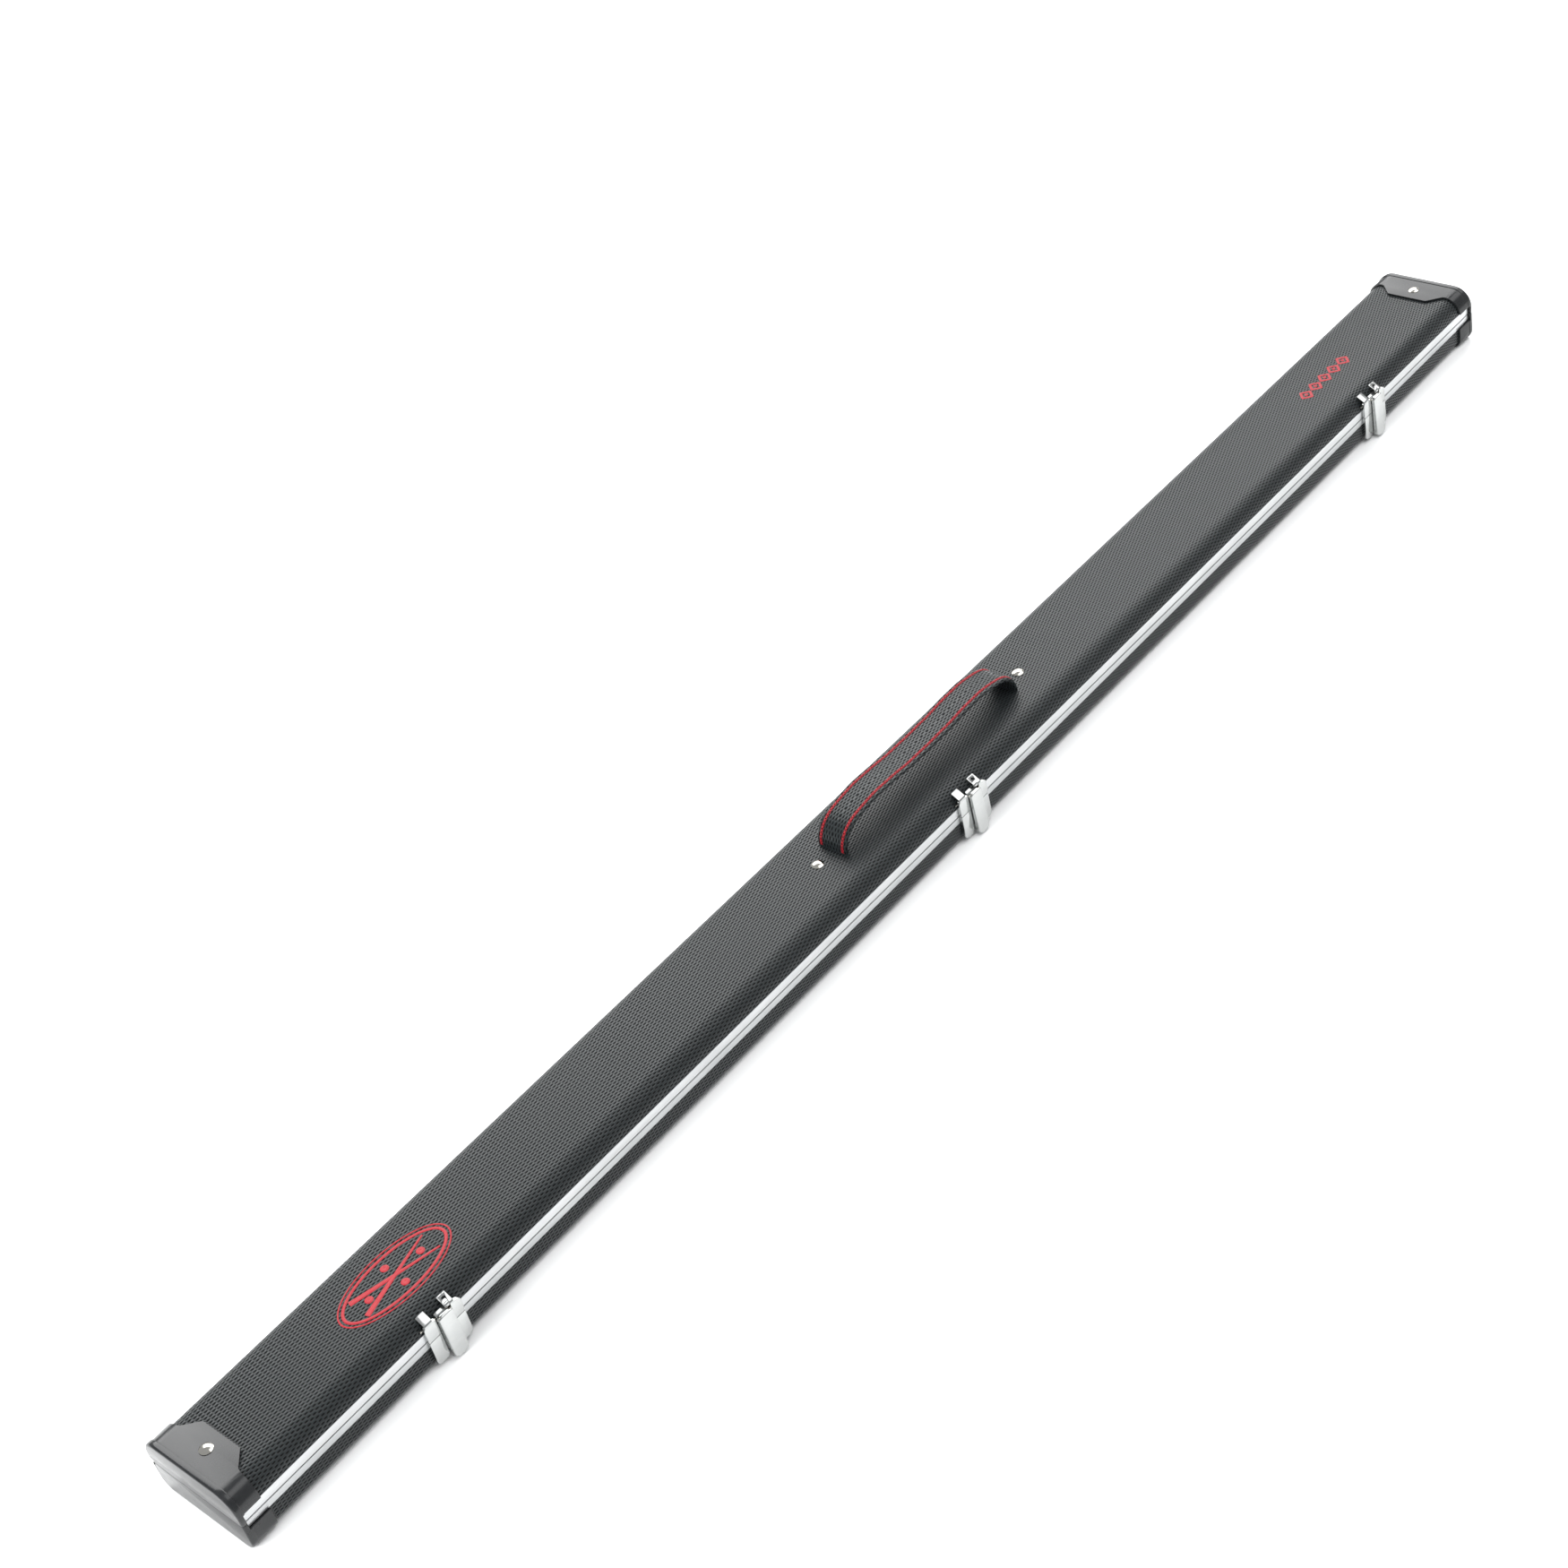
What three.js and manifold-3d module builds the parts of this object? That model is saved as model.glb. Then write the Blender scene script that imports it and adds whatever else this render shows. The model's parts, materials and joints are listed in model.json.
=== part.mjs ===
// One-piece snooker cue case: two long shells joined by a full-length hinge at
// the back and closed by three draw latches at the front.
// Units are millimetres. +X runs along the case, -Y is the latch side, +Z is up,
// and z = 0 is the surface that the case rests on.

import * as THREE from 'three';
import { mergeVertices } from 'three/addons/utils/BufferGeometryUtils.js';
import Module from 'manifold-3d';

const wasm = await Module();
wasm.setup();

// ---------------------------------------------------------------- driving sizes

const CASE_LENGTH = 1520; // over the end caps
const SHELL_HALF_WIDTH = 45;
const LID_RISE = 22; // seam to the top of the lid shell
const BASE_DROP = 24.5; // seam to the bottom of the base shell
const SHOULDER_RADIUS = 15; // long upper edges of the lid
const KEEL_RADIUS = 7; // long lower edges of the base
const WALL = 4.5; // covered board
const GAP = 0.3; // clearance between neighbouring pieces
const SEAM_GAP = 0.2; // each half stays this far from the seam plane

const CAP_SKIN = 1.6; // moulded cap over the shell
const CAP_LIP = 2.6; // how far the cap's end bead stands proud of the shell
const CAP_END = 3.7; // end wall of the cap
const LID_WING = 20.5; // reach of the caps along the sides
const BASE_WING = 22.5;
const CAP_FLAP = 32.5; // reach of the riveted flap
const FLAP_HALF_WIDTH = 30;
const FLAP_CHAMFER = 11;

const RAIL_INSET = 4.5; // rail end to cap end
const RAIL_PROUD = 0.4; // rail face in front of the covering
const RAIL_FACE = 1.5;
const RAIL_DEPTH = 6.8; // width of the rail's meeting face
const RAIL_LEG = 1.4;
const LID_RAIL_HEIGHT = 7.6;
const BASE_RAIL_HEIGHT = 6.2;
const RAIL_WEB = 2.6;
const TONGUE_WIDTH = 1.2;
const TONGUE_RISE = 1.1;

const HINGE_RAIL_HEIGHT = 9;
const HINGE_WEB = 4.6;
const HINGE_OUT = 1.2; // hinge axis behind the shell's back face
const BEAD_RADIUS = 1.6;
const SOCKET_INNER = 1.95;
const SOCKET_OUTER = 3.1;
const SWEEP_RADIUS = 3.45; // room kept round the socket by the turning lid

const HANDLE_FOOT = 107; // strap slot from the middle of the case
const HANDLE_RIVET = 127;
const STRAP_WIDTH = 28;
const STRAP_THICKNESS = 3;
const STRAP_RISE = 26; // strap's outer face above the lid
const TAB_LENGTH = 30; // flat end of the strap inside the lid
const STRAP_SHOULDER = 40; // length of each curved end of the strap

const LATCH_X = [-578, 1, 589];
const PLATE_LEFT = -17; // latch plates, from the middle of the latch
const PLATE_RIGHT = 16.2;
const SHEET = 1.2; // latch sheet metal
const LEG_RISE = 1.5; // raised legs of the plates in front of their bridge
const LEVER_CENTRE = 0.7; // lever's middle from the plate's middle
const LEVER_WIDTH = 12.4;

const HALF_LENGTH = CASE_LENGTH / 2;
const RAIL_END = HALF_LENGTH - RAIL_INSET;
const SHELL_END = HALF_LENGTH - CAP_END - GAP;
const FACE_Y = SHELL_HALF_WIDTH + RAIL_PROUD;
const HINGE_Y = SHELL_HALF_WIDTH + HINGE_OUT;
const CAP_OUT = GAP + CAP_SKIN;
const SEAM_Z = BASE_DROP + CAP_LIP;
const CAP_UNDERSIDE = CAP_LIP - CAP_OUT;
const ENDS = [
  { name: 'near', side: -1 },
  { name: 'far', side: 1 },
];

// ---------------------------------------------------------------- materials

function finish(colour, roughness, metalness) {
  return () => new THREE.MeshStandardMaterial({ color: colour, roughness, metalness });
}
const vinyl = finish(0x2b3033, 0.6, 0);
const blackPlastic = finish(0x1c1e20, 0.3, 0);
const aluminium = finish(0xd6d8da, 0.35, 0.9);
const chrome = finish(0xe8ebec, 0.12, 1);
const nickel = finish(0xd9d4c8, 0.2, 1);
const foam = finish(0x101012, 0.95, 0);
const lining = finish(0x0c0c0e, 0.95, 0);
const board = finish(0x141416, 0.9, 0);

// ---------------------------------------------------------------- solid helpers

function solid(geometry) {
  const bare = geometry.clone();
  bare.deleteAttribute('normal');
  bare.deleteAttribute('uv');
  const merged = mergeVertices(bare, 1e-5);
  return new wasm.Manifold(new wasm.Mesh({
    numProp: 3,
    vertProperties: new Float32Array(merged.attributes.position.array),
    triVerts: new Uint32Array(merged.index.array),
  }));
}

function geometryOf(body) {
  const mesh = body.getMesh();
  const geometry = new THREE.BufferGeometry();
  geometry.setAttribute('position', new THREE.BufferAttribute(new Float32Array(mesh.vertProperties), 3));
  geometry.setIndex(new THREE.BufferAttribute(new Uint32Array(mesh.triVerts), 1));
  geometry.computeVertexNormals();
  return geometry;
}

function shapeOf(points) {
  return new THREE.Shape(points.map(([a, b]) => new THREE.Vector2(a, b)));
}

function extruded(shape, length, curveSegments = 8) {
  return new THREE.ExtrudeGeometry(shape, { depth: length, bevelEnabled: false, curveSegments });
}

// A section drawn in (y, z), drawn out along X.
const SECTION_TO_WORLD = new THREE.Matrix4().makeBasis(
  new THREE.Vector3(0, 1, 0),
  new THREE.Vector3(0, 0, 1),
  new THREE.Vector3(1, 0, 0),
);
function alongX(shape, x0, x1, curveSegments) {
  const geometry = extruded(shape, x1 - x0, curveSegments).applyMatrix4(SECTION_TO_WORLD);
  return solid(geometry.translate(x0, 0, 0));
}

// A plan drawn in (x, y), drawn out along Z.
function alongZ(shape, z0, z1, curveSegments) {
  return solid(extruded(shape, z1 - z0, curveSegments).translate(0, 0, z0));
}

// A front view drawn in (x, z), drawn out from y1 towards -Y to y0.
const FRONT_TO_WORLD = new THREE.Matrix4().makeBasis(
  new THREE.Vector3(1, 0, 0),
  new THREE.Vector3(0, 0, 1),
  new THREE.Vector3(0, -1, 0),
);
function alongY(shape, y0, y1, curveSegments) {
  const geometry = extruded(shape, y1 - y0, curveSegments).applyMatrix4(FRONT_TO_WORLD);
  return solid(geometry.translate(0, y1, 0));
}

function block(x0, x1, y0, y1, z0, z1) {
  const geometry = new THREE.BoxGeometry(x1 - x0, y1 - y0, z1 - z0);
  return solid(geometry.translate((x0 + x1) / 2, (y0 + y1) / 2, (z0 + z1) / 2));
}

function rodX(radius, x0, x1, y, z, sides = 12) {
  const geometry = new THREE.CylinderGeometry(radius, radius, x1 - x0, sides);
  return solid(geometry.rotateZ(Math.PI / 2).translate((x0 + x1) / 2, y, z));
}

function rodZ(radius, x, y, z0, z1, sides = 16) {
  const geometry = new THREE.CylinderGeometry(radius, radius, z1 - z0, sides);
  return solid(geometry.rotateX(Math.PI / 2).translate(x, y, (z0 + z1) / 2));
}

function joined(...bodies) {
  return bodies.reduce((sum, body) => sum.add(body));
}

const parts = [];
function part(name, body, material) {
  const mesh = new THREE.Mesh(body.isBufferGeometry ? body : geometryOf(body), material());
  mesh.name = name;
  parts.push(mesh);
}

// ---------------------------------------------------------------- case sections

// Outline of the lid half, grown by `offset`, cut off flat at `floor`.
function lidOutline(offset, floor) {
  const half = SHELL_HALF_WIDTH + offset;
  const radius = SHOULDER_RADIUS + offset;
  const centreY = SHELL_HALF_WIDTH - SHOULDER_RADIUS;
  const centreZ = SEAM_Z + LID_RISE - SHOULDER_RADIUS;
  const shape = new THREE.Shape();
  shape.moveTo(-half, floor);
  shape.lineTo(half, floor);
  shape.lineTo(half, centreZ);
  shape.absarc(centreY, centreZ, radius, 0, Math.PI / 2, false);
  shape.lineTo(-centreY, centreZ + radius);
  shape.absarc(-centreY, centreZ, radius, Math.PI / 2, Math.PI, false);
  return shape;
}

// Outline of the base half, grown by `offset`, cut off flat at `ceiling`.
function baseOutline(offset, ceiling) {
  const half = SHELL_HALF_WIDTH + offset;
  const radius = KEEL_RADIUS + offset;
  const centreY = SHELL_HALF_WIDTH - KEEL_RADIUS;
  const centreZ = SEAM_Z - BASE_DROP + KEEL_RADIUS;
  const shape = new THREE.Shape();
  shape.moveTo(half, ceiling);
  shape.lineTo(-half, ceiling);
  shape.lineTo(-half, centreZ);
  shape.absarc(-centreY, centreZ, radius, Math.PI, Math.PI * 1.5, false);
  shape.lineTo(centreY, centreZ - radius);
  shape.absarc(centreY, centreZ, radius, Math.PI * 1.5, Math.PI * 2, false);
  return shape;
}

// The two halves share their rules, so each is described once.
const LID = {
  name: 'lid',
  up: 1,
  outline: lidOutline,
  rise: LID_RISE,
  wing: LID_WING,
  railHeight: LID_RAIL_HEIGHT,
};
const BASE = {
  name: 'base',
  up: -1,
  outline: baseOutline,
  rise: BASE_DROP,
  wing: BASE_WING,
  railHeight: BASE_RAIL_HEIGHT,
};

// A box given by its distances from the seam, on the half's own side of it.
function halfBlock(half, x0, x1, y0, y1, from, to) {
  const a = SEAM_Z + half.up * from;
  const b = SEAM_Z + half.up * to;
  return block(x0, x1, y0, y1, Math.min(a, b), Math.max(a, b));
}

// ---------------------------------------------------------------- shells

const LINER_HALF_WIDTH = SHELL_HALF_WIDTH - WALL - 2.2;
const HANDLE_SLOT = [STRAP_THICKNESS / 2 + GAP, STRAP_WIDTH / 2 + GAP];
const RIVET_SHANK = 1.7;
const CAP_RIVET_X = RAIL_END - 15;
const THROUGH = 9; // half depth of a cut that passes right through a wall

// The wall is thinned where it stands in the channel of each rail.
function rebated(half, body) {
  const channel = FACE_Y - RAIL_FACE - GAP;
  const outside = SHELL_HALF_WIDTH + 1;
  const long = HALF_LENGTH;
  const front = halfBlock(half, -long, long, -outside, -channel, 0, half.railHeight + GAP);
  const back = halfBlock(half, -long, long, channel, outside, 0, HINGE_RAIL_HEIGHT + GAP);
  const frontFoot = halfBlock(half, -long, long, -outside, 0, 0, RAIL_WEB + GAP);
  const backFoot = halfBlock(half, -long, long, 0, outside, 0, HINGE_WEB + GAP);
  return body.subtract(joined(front, back, frontFoot, backFoot));
}

function shell(half) {
  const outer = alongX(half.outline(0, SEAM_Z), -SHELL_END, SHELL_END);
  const past = SEAM_Z - half.up;
  const inner = alongX(half.outline(-WALL, past), -SHELL_END - 1, SHELL_END + 1);
  let body = rebated(half, outer.subtract(inner));
  const skin = SEAM_Z + half.up * half.rise;
  for (const { side } of ENDS) {
    body = body.subtract(rodZ(RIVET_SHANK + GAP, side * CAP_RIVET_X, 0, skin - THROUGH, skin + THROUGH));
  }
  return body;
}

function lidShell() {
  let body = shell(LID);
  const top = SEAM_Z + LID_RISE;
  for (const { side } of ENDS) {
    const x = side * HANDLE_FOOT;
    const [halfX, halfY] = HANDLE_SLOT;
    body = body.subtract(block(x - halfX, x + halfX, -halfY, halfY, top - THROUGH, top + THROUGH));
    body = body.subtract(rodZ(RIVET_SHANK + GAP, side * HANDLE_RIVET, 0, top - THROUGH, top + THROUGH));
  }
  return body;
}

part('lid_shell', lidShell(), vinyl);
part('base_shell', shell(BASE), vinyl);

// ---------------------------------------------------------------- end boards

const END_BOARD = 3;
for (const half of [LID, BASE]) {
  for (const { name, side } of ENDS) {
    const outline = half.outline(-WALL - GAP, SEAM_Z + half.up * GAP * 2);
    const x0 = side < 0 ? -SHELL_END : SHELL_END - END_BOARD;
    let body = alongX(outline, x0, x0 + END_BOARD);
    const leg = FACE_Y - RAIL_DEPTH - GAP;
    for (const y of [-1, 1]) {
      const [y0, y1] = y < 0 ? [-SHELL_HALF_WIDTH, -leg] : [leg, SHELL_HALF_WIDTH];
      body = body.subtract(halfBlock(half, x0 - 1, x0 + END_BOARD + 1, y0, y1, 0, HINGE_RAIL_HEIGHT + GAP));
    }
    part(`${half.name}_end_board_${name}`, body, board);
  }
}

// ---------------------------------------------------------------- padding

const LINER_END = SHELL_END - END_BOARD - GAP;
const BASE_LINER = 3;
const LID_FOAM = 4.5; // pressed thin between the lid and a cue

function baseLiner() {
  const floor = SEAM_Z - BASE_DROP + WALL + GAP;
  return block(-LINER_END, LINER_END, -LINER_HALF_WIDTH, LINER_HALF_WIDTH, floor, floor + BASE_LINER);
}

// The foam in the lid, with openings that the handle's riveted tabs fill.
function lidFoam() {
  const top = SEAM_Z + LID_RISE - WALL - GAP;
  const half = LINER_HALF_WIDTH - 1;
  const slab = block(-LINER_END, LINER_END, -half, half, top - LID_FOAM, top);
  const inner = lidOutline(-WALL - GAP, SEAM_Z);
  let body = slab.intersect(alongX(inner, -LINER_END, LINER_END, 6));
  for (const { side } of ENDS) {
    const middle = side * (HANDLE_FOOT + TAB_LENGTH / 2 - 1);
    const halfX = TAB_LENGTH / 2 + 3;
    const halfY = STRAP_WIDTH / 2 + 2;
    body = body.subtract(block(middle - halfX, middle + halfX, -halfY, halfY, SEAM_Z, top + 1));
  }
  return body;
}

part('lid_egg_crate_foam', lidFoam(), foam);
part('base_floor_liner', baseLiner(), lining);

// ---------------------------------------------------------------- front rails

// Both rails are channels that take the shell's edge. The lid's has a tongue,
// and the base's has the groove that it drops into.
const TONGUE_Y = -FACE_Y + RAIL_DEPTH / 2;

function railChannel(half, side, height, web) {
  const outer = side * FACE_Y;
  const face = side * (FACE_Y - RAIL_FACE);
  const inner = side * (FACE_Y - RAIL_DEPTH);
  const leg = side * (FACE_Y - RAIL_DEPTH + RAIL_LEG);
  const span = (a, b) => [Math.min(a, b), Math.max(a, b)];
  return joined(
    halfBlock(half, -RAIL_END, RAIL_END, ...span(outer, face), SEAM_GAP, height),
    halfBlock(half, -RAIL_END, RAIL_END, ...span(outer, inner), SEAM_GAP, web),
    halfBlock(half, -RAIL_END, RAIL_END, ...span(leg, inner), SEAM_GAP, height - 1),
  );
}

function lidFrontRail() {
  const half = TONGUE_WIDTH / 2;
  const tongue = block(
    -RAIL_END, RAIL_END, TONGUE_Y - half, TONGUE_Y + half, SEAM_Z - TONGUE_RISE + SEAM_GAP, SEAM_Z + 1,
  );
  return railChannel(LID, -1, LID_RAIL_HEIGHT, RAIL_WEB).add(tongue);
}

function baseFrontRail() {
  const half = TONGUE_WIDTH / 2 + 0.4;
  const floor = SEAM_Z - TONGUE_RISE - SEAM_GAP;
  const groove = block(-RAIL_END - 1, RAIL_END + 1, TONGUE_Y - half, TONGUE_Y + half, floor, SEAM_Z + 1);
  return railChannel(BASE, -1, BASE_RAIL_HEIGHT, RAIL_WEB).subtract(groove);
}

part('lid_front_rail', lidFrontRail(), aluminium);
part('base_front_rail', baseFrontRail(), aluminium);

// ---------------------------------------------------------------- hinge rails

// The lid's rail ends in a round bead, which turns in a socket on the base's
// rail. The socket is open over the sector that the bead's neck sweeps.
const NECK_WIDTH = 1.1;
const NECK_ANGLE = (135 * Math.PI) / 180;
const SOCKET_FROM = (163 * Math.PI) / 180;
const SOCKET_TO = (372 * Math.PI) / 180;

function sweepRoom(x0, x1) {
  return rodX(SWEEP_RADIUS, x0, x1, HINGE_Y, SEAM_Z, 24);
}

function lidHingeRail() {
  const neckLength = SWEEP_RADIUS + 0.6;
  const along = [Math.cos(NECK_ANGLE), Math.sin(NECK_ANGLE)];
  const across = [-along[1] * NECK_WIDTH * 0.5, along[0] * NECK_WIDTH * 0.5];
  const corner = (reach, side) => [
    HINGE_Y + along[0] * reach + across[0] * side,
    SEAM_Z + along[1] * reach + across[1] * side,
  ];
  const neck = shapeOf([corner(0, 1), corner(0, -1), corner(neckLength, -1), corner(neckLength, 1)]);
  return joined(
    railChannel(LID, 1, HINGE_RAIL_HEIGHT, HINGE_WEB).subtract(sweepRoom(-HALF_LENGTH, HALF_LENGTH)),
    alongX(neck, -RAIL_END, RAIL_END),
    rodX(BEAD_RADIUS, -RAIL_END, RAIL_END, HINGE_Y, SEAM_Z, 20),
  );
}

function baseHingeRail() {
  const ring = new THREE.Shape();
  ring.absarc(HINGE_Y, SEAM_Z, SOCKET_OUTER, SOCKET_FROM, SOCKET_TO, false);
  ring.absarc(HINGE_Y, SEAM_Z, SOCKET_INNER, SOCKET_TO, SOCKET_FROM, true);
  const bore = rodX(SOCKET_INNER, -HALF_LENGTH, HALF_LENGTH, HINGE_Y, SEAM_Z, 24);
  return railChannel(BASE, 1, HINGE_RAIL_HEIGHT, HINGE_WEB)
    .subtract(bore)
    .add(alongX(ring, -RAIL_END, RAIL_END, 16));
}

part('lid_hinge_rail', lidHingeRail(), aluminium);
part('base_hinge_rail', baseHingeRail(), aluminium);

// ---------------------------------------------------------------- end caps

const BEAD_ROUND = 1.8;
const BEAD_WIDTH = 5.4;

// Plan of the cap at the near end: wings at the sides, a riveted flap between.
function capPlan(half) {
  const reach = FLAP_HALF_WIDTH + 20;
  const wing = half.wing - HALF_LENGTH;
  const flap = CAP_FLAP - HALF_LENGTH;
  const tip = FLAP_HALF_WIDTH - FLAP_CHAMFER;
  return shapeOf([
    [-HALF_LENGTH - 1, -reach],
    [wing, -reach],
    [wing, -FLAP_HALF_WIDTH],
    [flap, -tip],
    [flap, tip],
    [wing, FLAP_HALF_WIDTH],
    [wing, reach],
    [-HALF_LENGTH - 1, reach],
  ]);
}

// The end wall and its proud rounded bead.
function capEnd(half) {
  const geometry = new THREE.ExtrudeGeometry(half.outline(CAP_LIP - BEAD_ROUND, SEAM_Z), {
    depth: BEAD_WIDTH,
    bevelEnabled: true,
    bevelSize: BEAD_ROUND,
    bevelThickness: BEAD_ROUND,
    bevelSegments: 3,
    curveSegments: 8,
  });
  geometry.applyMatrix4(SECTION_TO_WORLD).translate(-HALF_LENGTH + BEAD_ROUND, 0, 0);
  const keep = halfBlock(
    half, -HALF_LENGTH - 1, -HALF_LENGTH + BEAD_WIDTH, -FACE_Y - 5, FACE_Y + 5, SEAM_GAP, half.rise + 5,
  );
  return solid(geometry).intersect(keep);
}

function cap(half, side) {
  const skin = alongX(half.outline(CAP_OUT, SEAM_Z), -HALF_LENGTH + CAP_END - 1, -HALF_LENGTH + CAP_FLAP);
  const high = half.rise + CAP_OUT + 5;
  const z0 = SEAM_Z - high;
  const trimmed = skin.intersect(alongZ(capPlan(half), z0, SEAM_Z + high));
  const hollow = alongX(
    half.outline(GAP, SEAM_Z - half.up * 2), -HALF_LENGTH + CAP_END, -HALF_LENGTH + CAP_FLAP + 1,
  );
  const inside = -HALF_LENGTH + CAP_END;
  const past = -HALF_LENGTH + CAP_FLAP + 1;
  const frontRoom = halfBlock(half, inside, past, -FACE_Y - 5, -FACE_Y + 5, -1, half.railHeight + GAP);
  const backRoom = halfBlock(half, inside, past, FACE_Y - 5, FACE_Y + 5, -1, HINGE_RAIL_HEIGHT + GAP);
  const face = SEAM_Z + half.up * half.rise;
  let body = joined(capEnd(half), trimmed)
    .subtract(joined(hollow, frontRoom, backRoom))
    .subtract(sweepRoom(-HALF_LENGTH - 1, -HALF_LENGTH + CAP_FLAP))
    .subtract(rodZ(RIVET_SHANK + GAP, -CAP_RIVET_X, 0, face - 4, face + 4));
  if (half === BASE) {
    body = body.subtract(rodZ(FLAT_HEAD + GAP, -CAP_RIVET_X, 0, -1, FLAT_HEAD_Z + FLAT_HEAD_DEPTH + GAP, 20));
  }
  return side < 0 ? body : mirroredX(body);
}

function mirroredX(body) {
  const geometry = geometryOf(body).applyMatrix4(new THREE.Matrix4().makeScale(-1, 1, 1));
  const index = geometry.index.array;
  for (let i = 0; i < index.length; i += 3) {
    [index[i + 1], index[i + 2]] = [index[i + 2], index[i + 1]];
  }
  return solid(geometry);
}

// ---------------------------------------------------------------- rivets

const DOME_RADIUS = 5;
const DOME_RISE = 1.9;
const FLAT_HEAD = 4;
const FLAT_HEAD_DEPTH = 0.7;
const FLAT_HEAD_Z = CAP_UNDERSIDE - GAP;

// A domed rivet standing on z = 0, with its shank going down.
function domedRivet(shankLength) {
  const sphere = (DOME_RADIUS ** 2 + DOME_RISE ** 2) / (2 * DOME_RISE);
  const sweep = Math.asin(DOME_RADIUS / sphere);
  const steps = 5;
  const profile = [new THREE.Vector2(0, -shankLength)];
  profile.push(new THREE.Vector2(RIVET_SHANK, -shankLength));
  profile.push(new THREE.Vector2(RIVET_SHANK, 0));
  for (let i = 0; i <= steps; i += 1) {
    const angle = sweep * (1 - i / steps);
    profile.push(new THREE.Vector2(sphere * Math.sin(angle), sphere * Math.cos(angle) + DOME_RISE - sphere));
  }
  return new THREE.LatheGeometry(profile, 20).rotateX(Math.PI / 2);
}

// A flat rivet with its head at z = 0 and its shank going up.
function flatRivet(shankLength) {
  const profile = [
    new THREE.Vector2(0, 0),
    new THREE.Vector2(FLAT_HEAD, 0),
    new THREE.Vector2(FLAT_HEAD, FLAT_HEAD_DEPTH),
    new THREE.Vector2(RIVET_SHANK, FLAT_HEAD_DEPTH),
    new THREE.Vector2(RIVET_SHANK, shankLength),
    new THREE.Vector2(0, shankLength),
  ];
  return new THREE.LatheGeometry(profile, 20).rotateX(Math.PI / 2);
}

for (const half of [LID, BASE]) {
  for (const { name, side } of ENDS) {
    part(`${half.name}_end_cap_${name}`, cap(half, side), blackPlastic);
  }
}

for (const { name, side } of ENDS) {
  const top = SEAM_Z + LID_RISE + CAP_OUT + GAP;
  const dome = solid(domedRivet(CAP_OUT + WALL).translate(side * CAP_RIVET_X, 0, top));
  part(`lid_cap_rivet_${name}`, dome, nickel);
  const flat = solid(flatRivet(CAP_OUT + WALL - 1).translate(side * CAP_RIVET_X, 0, FLAT_HEAD_Z));
  part(`base_cap_rivet_${name}`, flat, nickel);
}

// ---------------------------------------------------------------- handle

const LID_TOP = SEAM_Z + LID_RISE;
const TAB_TOP = LID_TOP - WALL - GAP;
const BACKING = 1;
const BACKING_HALF = [9, 12];

// Side view of the strap in (x, z): a tab under the lid, up through the slot,
// over the arch, and down to the other tab.
function strapOutline() {
  const outerX = HANDLE_FOOT + STRAP_THICKNESS / 2;
  const innerX = HANDLE_FOOT - STRAP_THICKNESS / 2;
  const knee = TAB_TOP + 6;
  const arc = (x, z, a, b, side, reverse) => {
    const points = [];
    const steps = 9;
    for (let i = 0; i <= steps; i += 1) {
      const turn = (Math.PI / 2) * (i / steps);
      points.push([side * (x - a + a * Math.cos(turn)), z + b * Math.sin(turn)]);
    }
    return reverse ? points.reverse() : points;
  };
  const rise = LID_TOP + STRAP_RISE - knee;
  const innerRise = rise - STRAP_THICKNESS;
  const innerCurve = STRAP_SHOULDER - STRAP_THICKNESS;
  return [
    [-HANDLE_FOOT - TAB_LENGTH, TAB_TOP],
    [-outerX, TAB_TOP],
    ...arc(outerX, knee, STRAP_SHOULDER, rise, -1, false),
    ...arc(outerX, knee, STRAP_SHOULDER, rise, 1, true),
    [outerX, TAB_TOP],
    [HANDLE_FOOT + TAB_LENGTH, TAB_TOP],
    [HANDLE_FOOT + TAB_LENGTH, TAB_TOP - STRAP_THICKNESS],
    [innerX, TAB_TOP - STRAP_THICKNESS],
    ...arc(innerX, knee, innerCurve, innerRise, 1, false),
    ...arc(innerX, knee, innerCurve, innerRise, -1, true),
    [-innerX, TAB_TOP - STRAP_THICKNESS],
    [-HANDLE_FOOT - TAB_LENGTH, TAB_TOP - STRAP_THICKNESS],
  ];
}

function strap() {
  const half = STRAP_WIDTH / 2;
  let body = alongY(shapeOf(strapOutline()), -half, half);
  for (const { side } of ENDS) {
    const hole = rodZ(RIVET_SHANK + GAP, side * HANDLE_RIVET, 0, TAB_TOP - THROUGH, TAB_TOP + THROUGH / 2);
    body = body.subtract(hole);
  }
  return body;
}
part('handle_strap', strap(), vinyl);

for (const { name, side } of ENDS) {
  const x = side * HANDLE_RIVET;
  const plateTop = TAB_TOP - STRAP_THICKNESS - GAP;
  const [halfX, halfY] = BACKING_HALF;
  const plate = block(x - halfX, x + halfX, -halfY, halfY, plateTop - BACKING, plateTop);
  const hole = rodZ(RIVET_SHANK + GAP, x, 0, plateTop - THROUGH, plateTop + THROUGH);
  part(`handle_backing_plate_${name}`, plate.subtract(hole), nickel);
  const shank = LID_TOP + GAP - plateTop + BACKING;
  part(`handle_rivet_${name}`, solid(domedRivet(shank).translate(x, 0, LID_TOP + GAP)), nickel);
}

// ---------------------------------------------------------------- latches

// Latch sections are drawn in (out, v): `out` is the distance in front of the
// rail's face and v is the height above the seam.
const PIVOT_A = { out: 3.4, v: 2.1 }; // link on the lid plate
const PIVOT_B = { out: 3.4, v: 12.6 }; // lever on the link
const PIN = 0.7;
const PIN_BORE = 0.83;
const PIN_PROUD = 0.4;
const KNUCKLE = 1.5;
const EAR = 0.8;
const PLATE_BACK = GAP;
const PLATE_FACE = GAP + SHEET;
const WIRE = 0.35;

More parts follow.
